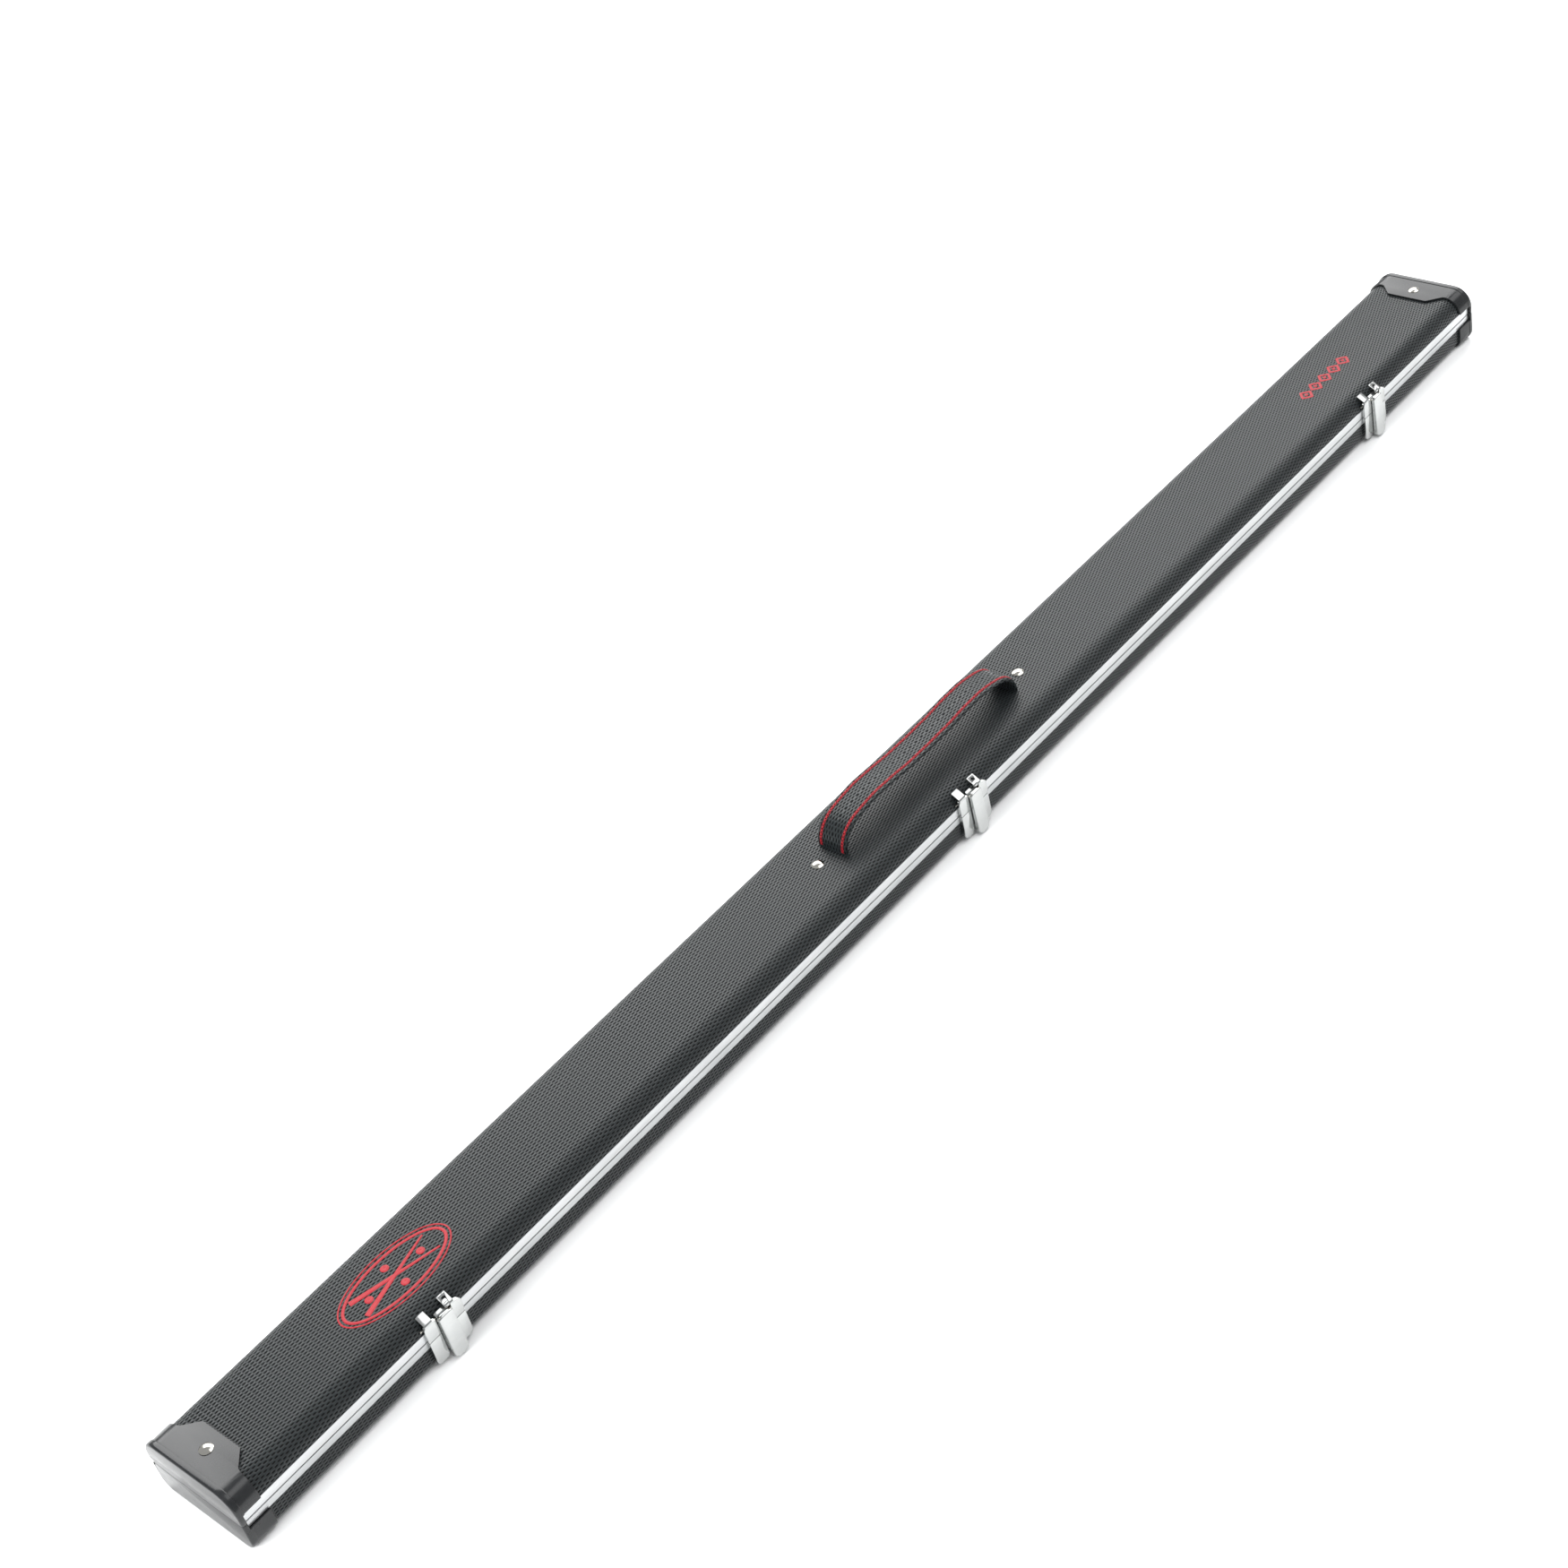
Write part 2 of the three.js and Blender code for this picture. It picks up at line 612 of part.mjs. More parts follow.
function latchShape(points) {
  return shapeOf(points.map(([out, v]) => [-FACE_Y - out, SEAM_Z + v]));
}
function latchRod(radius, x0, x1, at, sides) {
  return rodX(radius, x0, x1, -FACE_Y - at.out, SEAM_Z + at.v, sides);
}

// A front outline whose corners are [across, height, rounding].
function roundedFront(x, corners) {
  const shape = new THREE.Shape();
  const at = (i) => {
    const [across, v] = corners[(i + corners.length) % corners.length];
    return new THREE.Vector2(x + across, SEAM_Z + v);
  };
  corners.forEach(([, , rounding = 0], i) => {
    const here = at(i);
    const enter = at(i - 1).sub(here).setLength(rounding).add(here);
    const leave = at(i + 1).sub(here).setLength(rounding).add(here);
    if (i === 0) shape.moveTo(enter.x, enter.y);
    else shape.lineTo(enter.x, enter.y);
    if (rounding > 0) shape.quadraticCurveTo(here.x, here.y, leave.x, leave.y);
  });
  return shape;
}

const EAR_FRONT = PIVOT_A.out + 1.6;
const EAR_BOTTOM = 0.6;
const EAR_TOP = 3.8;
const EAR_ROOT = 5; // top of the ear where it meets the bridge
const EAR_BEVEL = 0.7;

const LEVER_LEFT = LEVER_CENTRE - LEVER_WIDTH / 2;
const LEVER_RIGHT = LEVER_CENTRE + LEVER_WIDTH / 2;
const FLANGE = 1;
const LEG_LEFT = -6.3;
const LEG_RIGHT = 7.8;
const LEG_FACE = PLATE_FACE + LEG_RISE;
const BRIDGE_TOP = 8;
const NOTCH_TOP = -18.7; // between the feet of the base plate
const LEFT_FOOT = -22.5;
const RIGHT_FOOT = -22;

// Tabs fold back over the shoulder: x range, where the fold starts, length and slope.
const SHOULDER_SLOPE = (31 * Math.PI) / 180;
const SIDE_FOLD = { out: LEG_FACE, v: 15.4 };
const INNER_FOLD = { out: 2.4, v: 15.75 }; // keeps clear of the lever's top
const MIDDLE_FOLD = { out: PLATE_FACE, v: 12.6 };
const TAB_REACH = 8;
const MIDDLE_REACH = 3;
const LEFT_TAB = [-15.6, -8.3];
const MIDDLE_TAB = [-4.3, 4];
const RIGHT_TAB = [4, 11.5];
const TAB_SLOT = { inset: 2.2, near: 1.4, far: 3.4 }; // slot through the right tab

// Side view of a tab that rises to its fold and then leans back at a slope.
function tabSection(fold, root, reach, slope) {
  const rise = reach * Math.tan(slope);
  const thick = SHEET / Math.cos(slope);
  return latchShape([
    [fold.out - SHEET, root],
    [fold.out, root],
    [fold.out, fold.v],
    [fold.out - reach, fold.v + rise],
    [fold.out - reach, fold.v + rise - thick],
    [fold.out - SHEET, fold.v - thick + SHEET * Math.tan(slope)],
  ]);
}

// A raised leg of a plate, open behind.
function raisedLeg(x, corners) {
  const xs = corners.map(([across]) => across);
  const vs = corners.map(([, v]) => v);
  const [left, right] = [Math.min(...xs) + SHEET, Math.max(...xs) - SHEET];
  const [low, high] = [Math.min(...vs) + SHEET * 2, Math.max(...vs) - SHEET * 2];
  const leg = alongY(roundedFront(x, corners), -FACE_Y - LEG_FACE, -FACE_Y - PLATE_BACK, 4);
  return leg.subtract(
    block(x + left, x + right, -FACE_Y - LEG_FACE + SHEET, -FACE_Y, SEAM_Z + low, SEAM_Z + high),
  );
}

// Flat sheet between the two legs of a plate, from one height to another.
function behindLever(x, low, high) {
  const x0 = x + LEG_LEFT - 1;
  const x1 = x + LEG_RIGHT + 1;
  return block(x0, x1, -FACE_Y - PLATE_FACE, -FACE_Y - PLATE_BACK, SEAM_Z + low, SEAM_Z + high);
}

// Plate on the lid's rail: two raised legs joined by a bridge behind the lever,
// three tabs over the shoulder, and two ears that hold the link's pin.
function lidPlate(x) {
  const earSection = latchShape([
    [PLATE_BACK, EAR_BOTTOM],
    [EAR_FRONT - EAR_BEVEL, EAR_BOTTOM],
    [EAR_FRONT, EAR_BOTTOM + EAR_BEVEL],
    [EAR_FRONT, EAR_TOP - EAR_BEVEL],
    [EAR_FRONT - EAR_BEVEL, EAR_TOP],
    [PLATE_BACK, EAR_ROOT],
  ]);
  const earLeft = x + LEVER_LEFT + FLANGE + GAP;
  const earRight = x + LEVER_RIGHT - FLANGE - GAP;
  const legTop = SIDE_FOLD.v - 1;
  const legRoot = legTop - 4; // tabs start inside the legs
  const leftLeg = raisedLeg(x, [
    [PLATE_LEFT, SEAM_GAP],
    [LEG_LEFT, SEAM_GAP],
    [LEG_LEFT, legTop],
    [PLATE_LEFT, legTop, 2],
  ]);
  const rightLeg = raisedLeg(x, [
    [LEG_RIGHT, SEAM_GAP],
    [PLATE_RIGHT, SEAM_GAP],
    [PLATE_RIGHT, legTop, 3],
    [LEG_RIGHT, legTop],
  ]);
  const bridge = behindLever(x, SEAM_GAP, BRIDGE_TOP);
  const sideTab = tabSection(SIDE_FOLD, legRoot, TAB_REACH, SHOULDER_SLOPE);
  const innerReach = TAB_REACH - LEG_FACE + INNER_FOLD.out;
  const innerTab = tabSection(INNER_FOLD, legTop, innerReach, SHOULDER_SLOPE);
  const middleTab = tabSection(MIDDLE_FOLD, BRIDGE_TOP - 1, MIDDLE_REACH, SHOULDER_SLOPE);
  const slot = block(
    x + RIGHT_TAB[0] + TAB_SLOT.inset, x + RIGHT_TAB[1] - TAB_SLOT.inset,
    -FACE_Y + TAB_SLOT.near, -FACE_Y + TAB_SLOT.far, SEAM_Z + MIDDLE_FOLD.v, SEAM_Z + LID_RISE,
  );
  return joined(
    leftLeg,
    rightLeg,
    bridge,
    alongX(sideTab, x + LEFT_TAB[0], x + LEFT_TAB[1]),
    alongX(sideTab, x + LEG_RIGHT + 0.1, x + RIGHT_TAB[1]),
    alongX(innerTab, x + RIGHT_TAB[0], x + LEG_RIGHT + 0.6),
    alongX(middleTab, x + MIDDLE_TAB[0], x + MIDDLE_TAB[1]),
    alongX(earSection, earLeft, earLeft + EAR),
    alongX(earSection, earRight - EAR, earRight),
  )
    .subtract(slot)
    .subtract(latchRod(PIN_BORE, x + LEVER_LEFT, x + LEVER_RIGHT, PIVOT_A, 12));
}

// Plate on the base's rail: two raised feet with a flat web between them.
function basePlate(x) {
  const leftFoot = raisedLeg(x, [
    [PLATE_LEFT, -SEAM_GAP],
    [PLATE_LEFT, LEFT_FOOT, 3],
    [LEG_LEFT, LEFT_FOOT, 3],
    [LEG_LEFT, -SEAM_GAP],
  ]);
  const rightFoot = raisedLeg(x, [
    [LEG_RIGHT, -SEAM_GAP],
    [LEG_RIGHT, RIGHT_FOOT, 1],
    [PLATE_RIGHT, RIGHT_FOOT, 4],
    [PLATE_RIGHT, -SEAM_GAP],
  ]);
  const web = behindLever(x, NOTCH_TOP, -SEAM_GAP);
  return joined(leftFoot, rightFoot, web);
}

// Short link that stands up behind the lever when the latch is closed.
function link(x) {
  const side = FLANGE + EAR + 2 * GAP;
  const x0 = x + LEVER_LEFT + side;
  const x1 = x + LEVER_RIGHT - side;
  const half = SHEET / 2;
  const web = latchShape([
    [PIVOT_A.out - half, PIVOT_A.v],
    [PIVOT_A.out + half, PIVOT_A.v],
    [PIVOT_B.out + half, PIVOT_B.v],
    [PIVOT_B.out - half, PIVOT_B.v],
  ]);
  return joined(
    alongX(web, x0, x1),
    latchRod(KNUCKLE, x0, x1, PIVOT_A, 12),
    latchRod(KNUCKLE, x0, x1, PIVOT_B, 12),
  )
    .subtract(latchRod(PIN_BORE, x0 - 1, x1 + 1, PIVOT_A, 12))
    .subtract(latchRod(PIN_BORE, x0 - 1, x1 + 1, PIVOT_B, 12));
}

const LEVER_TOP = 14.6;
const LEVER_FOOT = -25.2;
const LEVER_OUT_TOP = 6.3; // outer face at the top
const LEVER_OUT_FOOT = 7.8; // outer face at the foot
const LEVER_SHEET = 1;
const TOP_CORNER = 2.4;
const FOOT_CORNER = 4.6;
const FLANGE_BACK = 2;
const LIP_BACK = 2.1;
const LIP_V = LEVER_FOOT + 2.4;
const LIP_SLOT = { half: 2.5, near: 3.4, far: 5.2 };

// Channel-shaped lever: a sloping face with a rounded foot, a flange down each
// side, and a slotted lip at the foot that hooks under the base plate's edge.
function lever(x) {
  const face = latchShape([
    [LEVER_OUT_TOP - LEVER_SHEET, LEVER_TOP],
    [LEVER_OUT_TOP, LEVER_TOP],
    [LEVER_OUT_FOOT, LEVER_FOOT],
    [LEVER_OUT_FOOT - LEVER_SHEET, LEVER_FOOT],
  ]);
  const faceMiddle = LEVER_SHEET / 2;
  const flange = latchShape([
    [FLANGE_BACK, PIVOT_B.v - 2],
    [FLANGE_BACK, PIVOT_B.v + 0.8],
    [FLANGE_BACK + 1, LEVER_TOP - 0.4],
    [LEVER_OUT_TOP - faceMiddle, LEVER_TOP - 0.4],
    [LEVER_OUT_FOOT - faceMiddle, LEVER_FOOT + 3],
    [LIP_BACK, LEVER_FOOT + 4],
  ]);
  const outline = roundedFront(x, [
    [LEVER_LEFT, LEVER_TOP, TOP_CORNER],
    [LEVER_LEFT, LEVER_FOOT, FOOT_CORNER],
    [LEVER_RIGHT, LEVER_FOOT, FOOT_CORNER],
    [LEVER_RIGHT, LEVER_TOP, TOP_CORNER],
  ]);
  const front = alongY(outline, -FACE_Y - 12, -FACE_Y + 2, 6);
  const x0 = x + LEVER_LEFT;
  const x1 = x + LEVER_RIGHT;
  const lip = latchShape([
    [LIP_BACK, LIP_V + 1],
    [LEVER_OUT_FOOT - faceMiddle, LIP_V],
    [LEVER_OUT_FOOT - faceMiddle, LIP_V + LEVER_SHEET],
    [LIP_BACK, LIP_V + 1 + LEVER_SHEET],
  ]);
  const slot = block(
    x + LEVER_CENTRE - LIP_SLOT.half, x + LEVER_CENTRE + LIP_SLOT.half,
    -FACE_Y - LIP_SLOT.far, -FACE_Y - LIP_SLOT.near, SEAM_Z + LEVER_FOOT, SEAM_Z + NOTCH_TOP,
  );
  return joined(
    alongX(face, x0, x1).intersect(front),
    alongX(flange, x0, x0 + FLANGE),
    alongX(flange, x1 - FLANGE, x1),
    alongX(lip, x0 + FLANGE / 2, x1 - FLANGE / 2).subtract(slot),
  ).subtract(latchRod(PIN_BORE, x0 - 1, x1 + 1, PIVOT_B, 12));
}

// Wire along the back of the legs, under the folded tabs, with a small head past the left leg.
function tabWire(x) {
  const at = { out: PLATE_BACK - 2 * GAP, v: SIDE_FOLD.v - 4 };
  const left = x + PLATE_LEFT - GAP;
  return joined(
    latchRod(WIRE, left, x + PLATE_RIGHT - 1, at, 10),
    latchRod(WIRE * 2, left - 1.3, left, at, 12),
  );
}

LATCH_X.forEach((x, i) => {
  const latch = `latch_${i + 1}`;
  const earLeft = x + LEVER_LEFT + FLANGE + GAP;
  const earRight = x + LEVER_RIGHT - FLANGE - GAP;
  part(`${latch}_lid_plate`, lidPlate(x), chrome);
  part(`${latch}_base_plate`, basePlate(x), chrome);
  part(`${latch}_link`, link(x), chrome);
  part(`${latch}_lever`, lever(x), chrome);
  part(`${latch}_link_pin`, latchRod(PIN, earLeft, earRight, PIVOT_A, 12), nickel);
  const leverPin = latchRod(PIN, x + LEVER_LEFT - PIN_PROUD, x + LEVER_RIGHT + PIN_PROUD, PIVOT_B, 12);
  part(`${latch}_lever_pin`, leverPin, nickel);
  part(`${latch}_tab_wire`, tabWire(x), nickel);
});

// ---------------------------------------------------------------- assembly

// The origin is under the middle of the overall box, so the case is moved back
// by half the difference between the latches' reach and the hinge's.
const FRONT_REACH = FACE_Y + LEVER_OUT_FOOT;
const BACK_REACH = HINGE_Y + SOCKET_OUTER;

const group = new THREE.Group();
group.name = 'cue_case';
const placed = new THREE.Group();
placed.position.set(0, (FRONT_REACH - BACK_REACH) / 2, 0);
parts.forEach((mesh) => placed.add(mesh));
group.add(placed);

export default group;
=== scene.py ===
"""Looks of the cue case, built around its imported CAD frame. Section sizes are in millimetres."""

import json
import math

import bmesh
import bpy
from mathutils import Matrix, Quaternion, Vector


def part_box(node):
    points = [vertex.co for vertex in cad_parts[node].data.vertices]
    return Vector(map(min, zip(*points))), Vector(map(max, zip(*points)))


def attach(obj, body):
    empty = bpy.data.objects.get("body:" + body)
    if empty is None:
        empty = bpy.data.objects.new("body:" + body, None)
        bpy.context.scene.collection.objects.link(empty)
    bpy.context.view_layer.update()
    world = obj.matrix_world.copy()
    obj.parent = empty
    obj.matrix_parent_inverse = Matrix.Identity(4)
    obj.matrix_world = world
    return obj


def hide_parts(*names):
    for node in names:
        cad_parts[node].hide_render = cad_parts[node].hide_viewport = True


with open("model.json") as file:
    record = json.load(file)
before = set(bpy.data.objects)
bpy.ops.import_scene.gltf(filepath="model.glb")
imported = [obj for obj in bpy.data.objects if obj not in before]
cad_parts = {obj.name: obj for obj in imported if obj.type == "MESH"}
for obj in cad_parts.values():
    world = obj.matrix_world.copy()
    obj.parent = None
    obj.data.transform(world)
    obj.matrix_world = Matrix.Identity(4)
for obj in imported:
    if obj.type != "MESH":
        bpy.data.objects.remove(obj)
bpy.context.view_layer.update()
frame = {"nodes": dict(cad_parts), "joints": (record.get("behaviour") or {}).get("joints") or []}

MM = 0.001
SCENE = bpy.context.scene


# ------------------------------------------------------------------ sizes from the frame


def span(node):
    low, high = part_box(node)
    return low / MM, high / MM


def middle(node):
    low, high = span(node)
    return (low + high) / 2


def joint_place(name):
    joint = next(j for j in frame["joints"] if j["name"] == name)
    return Vector(joint["pos_m"]) / MM


BASE_LOW, BASE_HIGH = span("base_shell")
LID_HIGH = span("lid_shell")[1]
LID_RAIL_LOW, LID_RAIL_HIGH = span("lid_front_rail")
BASE_RAIL_LOW, BASE_RAIL_HIGH = span("base_front_rail")
CAP_LOW, CAP_HIGH = span("lid_end_cap_far")
FOAM_LOW, FOAM_HIGH = span("lid_egg_crate_foam")
LINER_LOW, LINER_HIGH = span("base_floor_liner")
STRAP_LOW, STRAP_HIGH = span("handle_strap")

GAP = 0.3
SEAM_GAP = 0.2
SEAM = BASE_RAIL_HIGH.z + SEAM_GAP
MID_Y = (BASE_LOW.y + BASE_HIGH.y) / 2
HALF_WIDTH = (BASE_HIGH.y - BASE_LOW.y) / 2
SHELL_END = BASE_HIGH.x
LID_RISE = LID_HIGH.z - SEAM
BASE_DROP = SEAM - BASE_LOW.z
SHOULDER_RADIUS = 15
KEEL_RADIUS = 7
WALL = 4.5

CASE_END = CAP_HIGH.x
RAIL_END = LID_RAIL_HIGH.x
FACE = MID_Y - LID_RAIL_LOW.y  # half width over the rails
RAIL_DEPTH = LID_RAIL_HIGH.y - LID_RAIL_LOW.y
LID_RAIL_HEIGHT = LID_RAIL_HIGH.z - SEAM
BASE_RAIL_HEIGHT = SEAM - BASE_RAIL_LOW.z
HINGE = joint_place("lid_hinge")
ENDS = {"near": -1, "far": 1}
PLATE_LEFT = -17  # edges of a latch plate from the middle of its latch
PLATE_RIGHT = 16.2
LATCHES = {n: span(f"latch_{n}_lid_plate")[0].x - PLATE_LEFT for n in (1, 2, 3)}


# ------------------------------------------------------------------ mesh helpers


def mesh_object(name, points, faces, uvs=None, sharp=35):
    """An object from points in millimetres. uvs gives one pair for each corner of each face."""
    mesh = bpy.data.meshes.new(name)
    mesh.from_pydata([Vector(p) * MM for p in points], [], faces)
    if uvs:
        layer = mesh.uv_layers.new(name="surface")
        flat = [pair for face in uvs for pair in face]
        for loop, pair in zip(layer.data, flat):
            loop.uv = pair
    faced_outward(mesh)
    mesh.shade_smooth()
    mesh.set_sharp_from_angle(angle=math.radians(sharp))
    thing = bpy.data.objects.new(name, mesh)
    SCENE.collection.objects.link(thing)
    return thing


def faced_outward(mesh):
    work = bmesh.new()
    work.from_mesh(mesh)
    bmesh.ops.recalc_face_normals(work, faces=work.faces)
    work.to_mesh(mesh)
    work.free()


def loft(name, rings, sharp=35, closed_path=False, uv_along=None):
    """Joins rings of equal point counts. The first and last are closed unless the path is."""
    count = len(rings[0])
    points = [p for ring in rings for p in ring]
    faces = []
    uvs = []
    steps = len(rings) if closed_path else len(rings) - 1
    around = [0.0]
    for i in range(count):
        here, after = Vector(rings[-1][i]), Vector(rings[-1][(i + 1) % count])
        around.append(around[-1] + (after - here).length)
    along = uv_along or [Vector(ring[0]).x for ring in rings]
    for r in range(steps):
        s = (r + 1) % len(rings)
        for i in range(count):
            j = (i + 1) % count
            faces.append((r * count + i, r * count + j, s * count + j, s * count + i))
            u0, u1 = along[r], along[s]
            v0, v1 = around[i], around[i + 1]
            uvs.append([(u0, v0), (u0, v1), (u1, v1), (u1, v0)])
    if not closed_path:
        for r in (0, len(rings) - 1):
            faces.append(tuple(range(r * count, (r + 1) * count)))
            uvs.append([(p[1], p[2]) for p in rings[r]])
    return mesh_object(name, points, faces, uvs, sharp)


def prism_x(name, outline, x0, x1, sharp=35):
    """A (y, z) outline drawn out along X."""
    return loft(name, [[(x, y, z) for y, z in outline] for x in (x0, x1)], sharp)


def prism_y(name, outline, y0, y1):
    """An (x, z) outline drawn out along Y."""
    rings = [[(x, y, z) for x, z in outline] for y in (y0, y1)]
    return loft(name, rings, uv_along=[y0, y1])


def prism_z(name, outline, z0, z1):
    """An (x, y) outline drawn out along Z."""
    rings = [[(x, y, z) for x, y in outline] for z in (z0, z1)]
    return loft(name, rings, uv_along=[z0, z1])


def box(name, x0, x1, y0, y1, z0, z1):
    return prism_x(name, [(y0, z0), (y1, z0), (y1, z1), (y0, z1)], x0, x1)


def rod_x(name, radius, x0, x1, y, z, sides=32):
    turns = [2 * math.pi * i / sides for i in range(sides)]
    return prism_x(name, [(y + radius * math.cos(t), z + radius * math.sin(t)) for t in turns], x0, x1)


def baked(thing):
    """Applies an object's modifiers."""
    graph = bpy.context.evaluated_depsgraph_get()
    mesh = bpy.data.meshes.new_from_object(thing.evaluated_get(graph))
    thing.modifiers.clear()
    thing.data = mesh
    return thing


def combined(thing, tools, operation):
    """Cuts tools out of a solid, or keeps what it shares with them."""
    for tool in tools:
        change = thing.modifiers.new("cut", "BOOLEAN")
        change.operation = operation
        change.solver = "MANIFOLD"
        change.object = tool
    baked(thing)
    for tool in tools:
        bpy.data.objects.remove(tool)
    return thing


def cut(thing, *tools):
    return combined(thing, tools, "DIFFERENCE")


def kept(thing, *tools):
    return combined(thing, tools, "INTERSECT")


def rounded(thing, width, segments=3, angle=40, sharp=35):
    """Rounds every edge that is sharper than the angle."""
    bevel = thing.modifiers.new("round", "BEVEL")
    bevel.width = width * MM
    bevel.segments = segments
    bevel.limit_method = "ANGLE"
    bevel.angle_limit = math.radians(angle)
    bevel.use_clamp_overlap = True
    baked(thing)
    thing.data.shade_smooth()
    thing.data.set_sharp_from_angle(angle=math.radians(sharp))
    return thing


def merged(name, things):
    """One object from several."""
    work = bmesh.new()
    for thing in things:
        work.from_mesh(thing.data)
        bpy.data.objects.remove(thing)
    mesh = bpy.data.meshes.new(name)
    work.to_mesh(mesh)
    work.free()
    whole = bpy.data.objects.new(name, mesh)
    SCENE.collection.objects.link(whole)
    return whole


def lathe(name, profile, centre, sides=40):
    """A (radius, height) profile turned about a vertical axis through centre."""
    rings = []
    for radius, height in profile:
        turns = [2 * math.pi * i / sides for i in range(sides)]
        ring = [(radius * math.cos(t), radius * math.sin(t), height) for t in turns]
        rings.append([tuple(Vector(p) + centre) for p in ring])
    return loft(name, rings, uv_along=[height for _, height in profile])


def arc(centre_y, centre_z, radius, start, stop, steps):
    """Points along a circular arc, with angles in degrees from +Y towards +Z."""
    points = []
    for i in range(steps + 1):
        turn = math.radians(start + (stop - start) * i / steps)
        points.append((centre_y + radius * math.cos(turn), centre_z + radius * math.sin(turn)))
    return points


def soft_corners(corners, steps=5):
    """An outline whose corners are (a, b, rounding)."""
    outline = []
    for i, (a, b, rounding) in enumerate(corners):
        here = Vector((a, b))
        if rounding == 0:
            outline.append((a, b))
            continue
        before = Vector(corners[i - 1][:2])
        after = Vector(corners[(i + 1) % len(corners)][:2])
        enter = here + (before - here).normalized() * rounding
        leave = here + (after - here).normalized() * rounding
        for k in range(steps + 1):
            t = k / steps
            point = enter * (1 - t) ** 2 + here * 2 * t * (1 - t) + leave * t**2
            outline.append((point.x, point.y))
    return outline


def placed(thing, body, material, nodes=()):
    """Gives a piece its body and material, and hides the CAD nodes it stands for."""
    thing.data.materials.clear()
    thing.data.materials.append(material)
    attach(thing, body)
    if nodes:
        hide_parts(*nodes)
    return thing


def dressed(node_name, material, sharp=None):
    """Gives a CAD node that is shown as it is a material, and smooth shading below an angle in degrees."""
    node = frame["nodes"][node_name]
    if sharp:
        node.data.shade_smooth()
        node.data.set_sharp_from_angle(angle=math.radians(sharp))
    node.data.materials.clear()
    node.data.materials.append(material)


# ------------------------------------------------------------------ material helpers


class Shader:
    """A material with short ways to add and link its nodes."""

    def __init__(self, name, colour, roughness, metallic=0.0):
        self.material = bpy.data.materials.new(name)
        self.material.use_nodes = True
        self.nodes = self.material.node_tree.nodes
        self.bsdf = self.nodes["Principled BSDF"]
        self.bsdf.inputs["Base Color"].default_value = (*colour, 1)
        self.bsdf.inputs["Roughness"].default_value = roughness
        self.bsdf.inputs["Metallic"].default_value = metallic

    def node(self, kind, **inputs):
        made = self.nodes.new(kind)
        for name, value in inputs.items():
            self.feed(made.inputs[name.replace("_", " ")], value)
        return made

    def feed(self, socket, value):
        if isinstance(value, bpy.types.NodeSocket):
            self.material.node_tree.links.new(value, socket)
        else:
            socket.default_value = value

    def maths(self, operation, first, second=0.0):
        made = self.nodes.new("ShaderNodeMath")
        made.operation = operation
        self.feed(made.inputs[0], first)
        self.feed(made.inputs[1], second)
        return made.outputs[0]

    def ramp(self, fac, stops):
        made = self.nodes.new("ShaderNodeValToRGB")
        self.feed(made.inputs["Fac"], fac)
        ends = made.color_ramp.elements
        for element, (position, colour) in zip(ends, (stops[0], stops[-1])):
            element.position = position
            element.color = (*colour, 1)
        for position, colour in stops[1:-1]:
            ends.new(position).color = (*colour, 1)
        return made.outputs["Color"]

    def spread(self, value, low, high, low_in=0.0, high_in=1.0):
        made = self.nodes.new("ShaderNodeMapRange")
        for name, amount in (
            ("Value", value),
            ("From Min", low_in),
            ("From Max", high_in),
            ("To Min", low),
            ("To Max", high),
        ):
            self.feed(made.inputs[name], amount)
        return made.outputs["Result"]

    def place(self, scale=(1, 1, 1), uv=False):
        where = self.nodes.new("ShaderNodeTexCoord").outputs["UV" if uv else "Object"]
        mapping = self.nodes.new("ShaderNodeMapping")
        self.feed(mapping.inputs["Vector"], where)
        mapping.inputs["Scale"].default_value = scale
        return mapping.outputs["Vector"]

    def noise(self, where, scale, detail=3.0, roughness=0.5):
        made = self.node("ShaderNodeTexNoise", Vector=where, Scale=scale, Detail=detail, Roughness=roughness)
        return made.outputs["Fac"]

    def bump(self, height, strength, distance):
        made = self.node("ShaderNodeBump", Height=height, Strength=strength, Distance=distance)
        return made.outputs["Normal"]

    def finish(self, **sockets):
        for name, value in sockets.items():
            self.feed(self.bsdf.inputs[name.replace("_", " ")], value)
        return self.material


# ------------------------------------------------------------------ materials

RIB_LENGTH = 3.57  # length of a rib, and of the gap that follows it in its row
RIB_ROW = 1.35


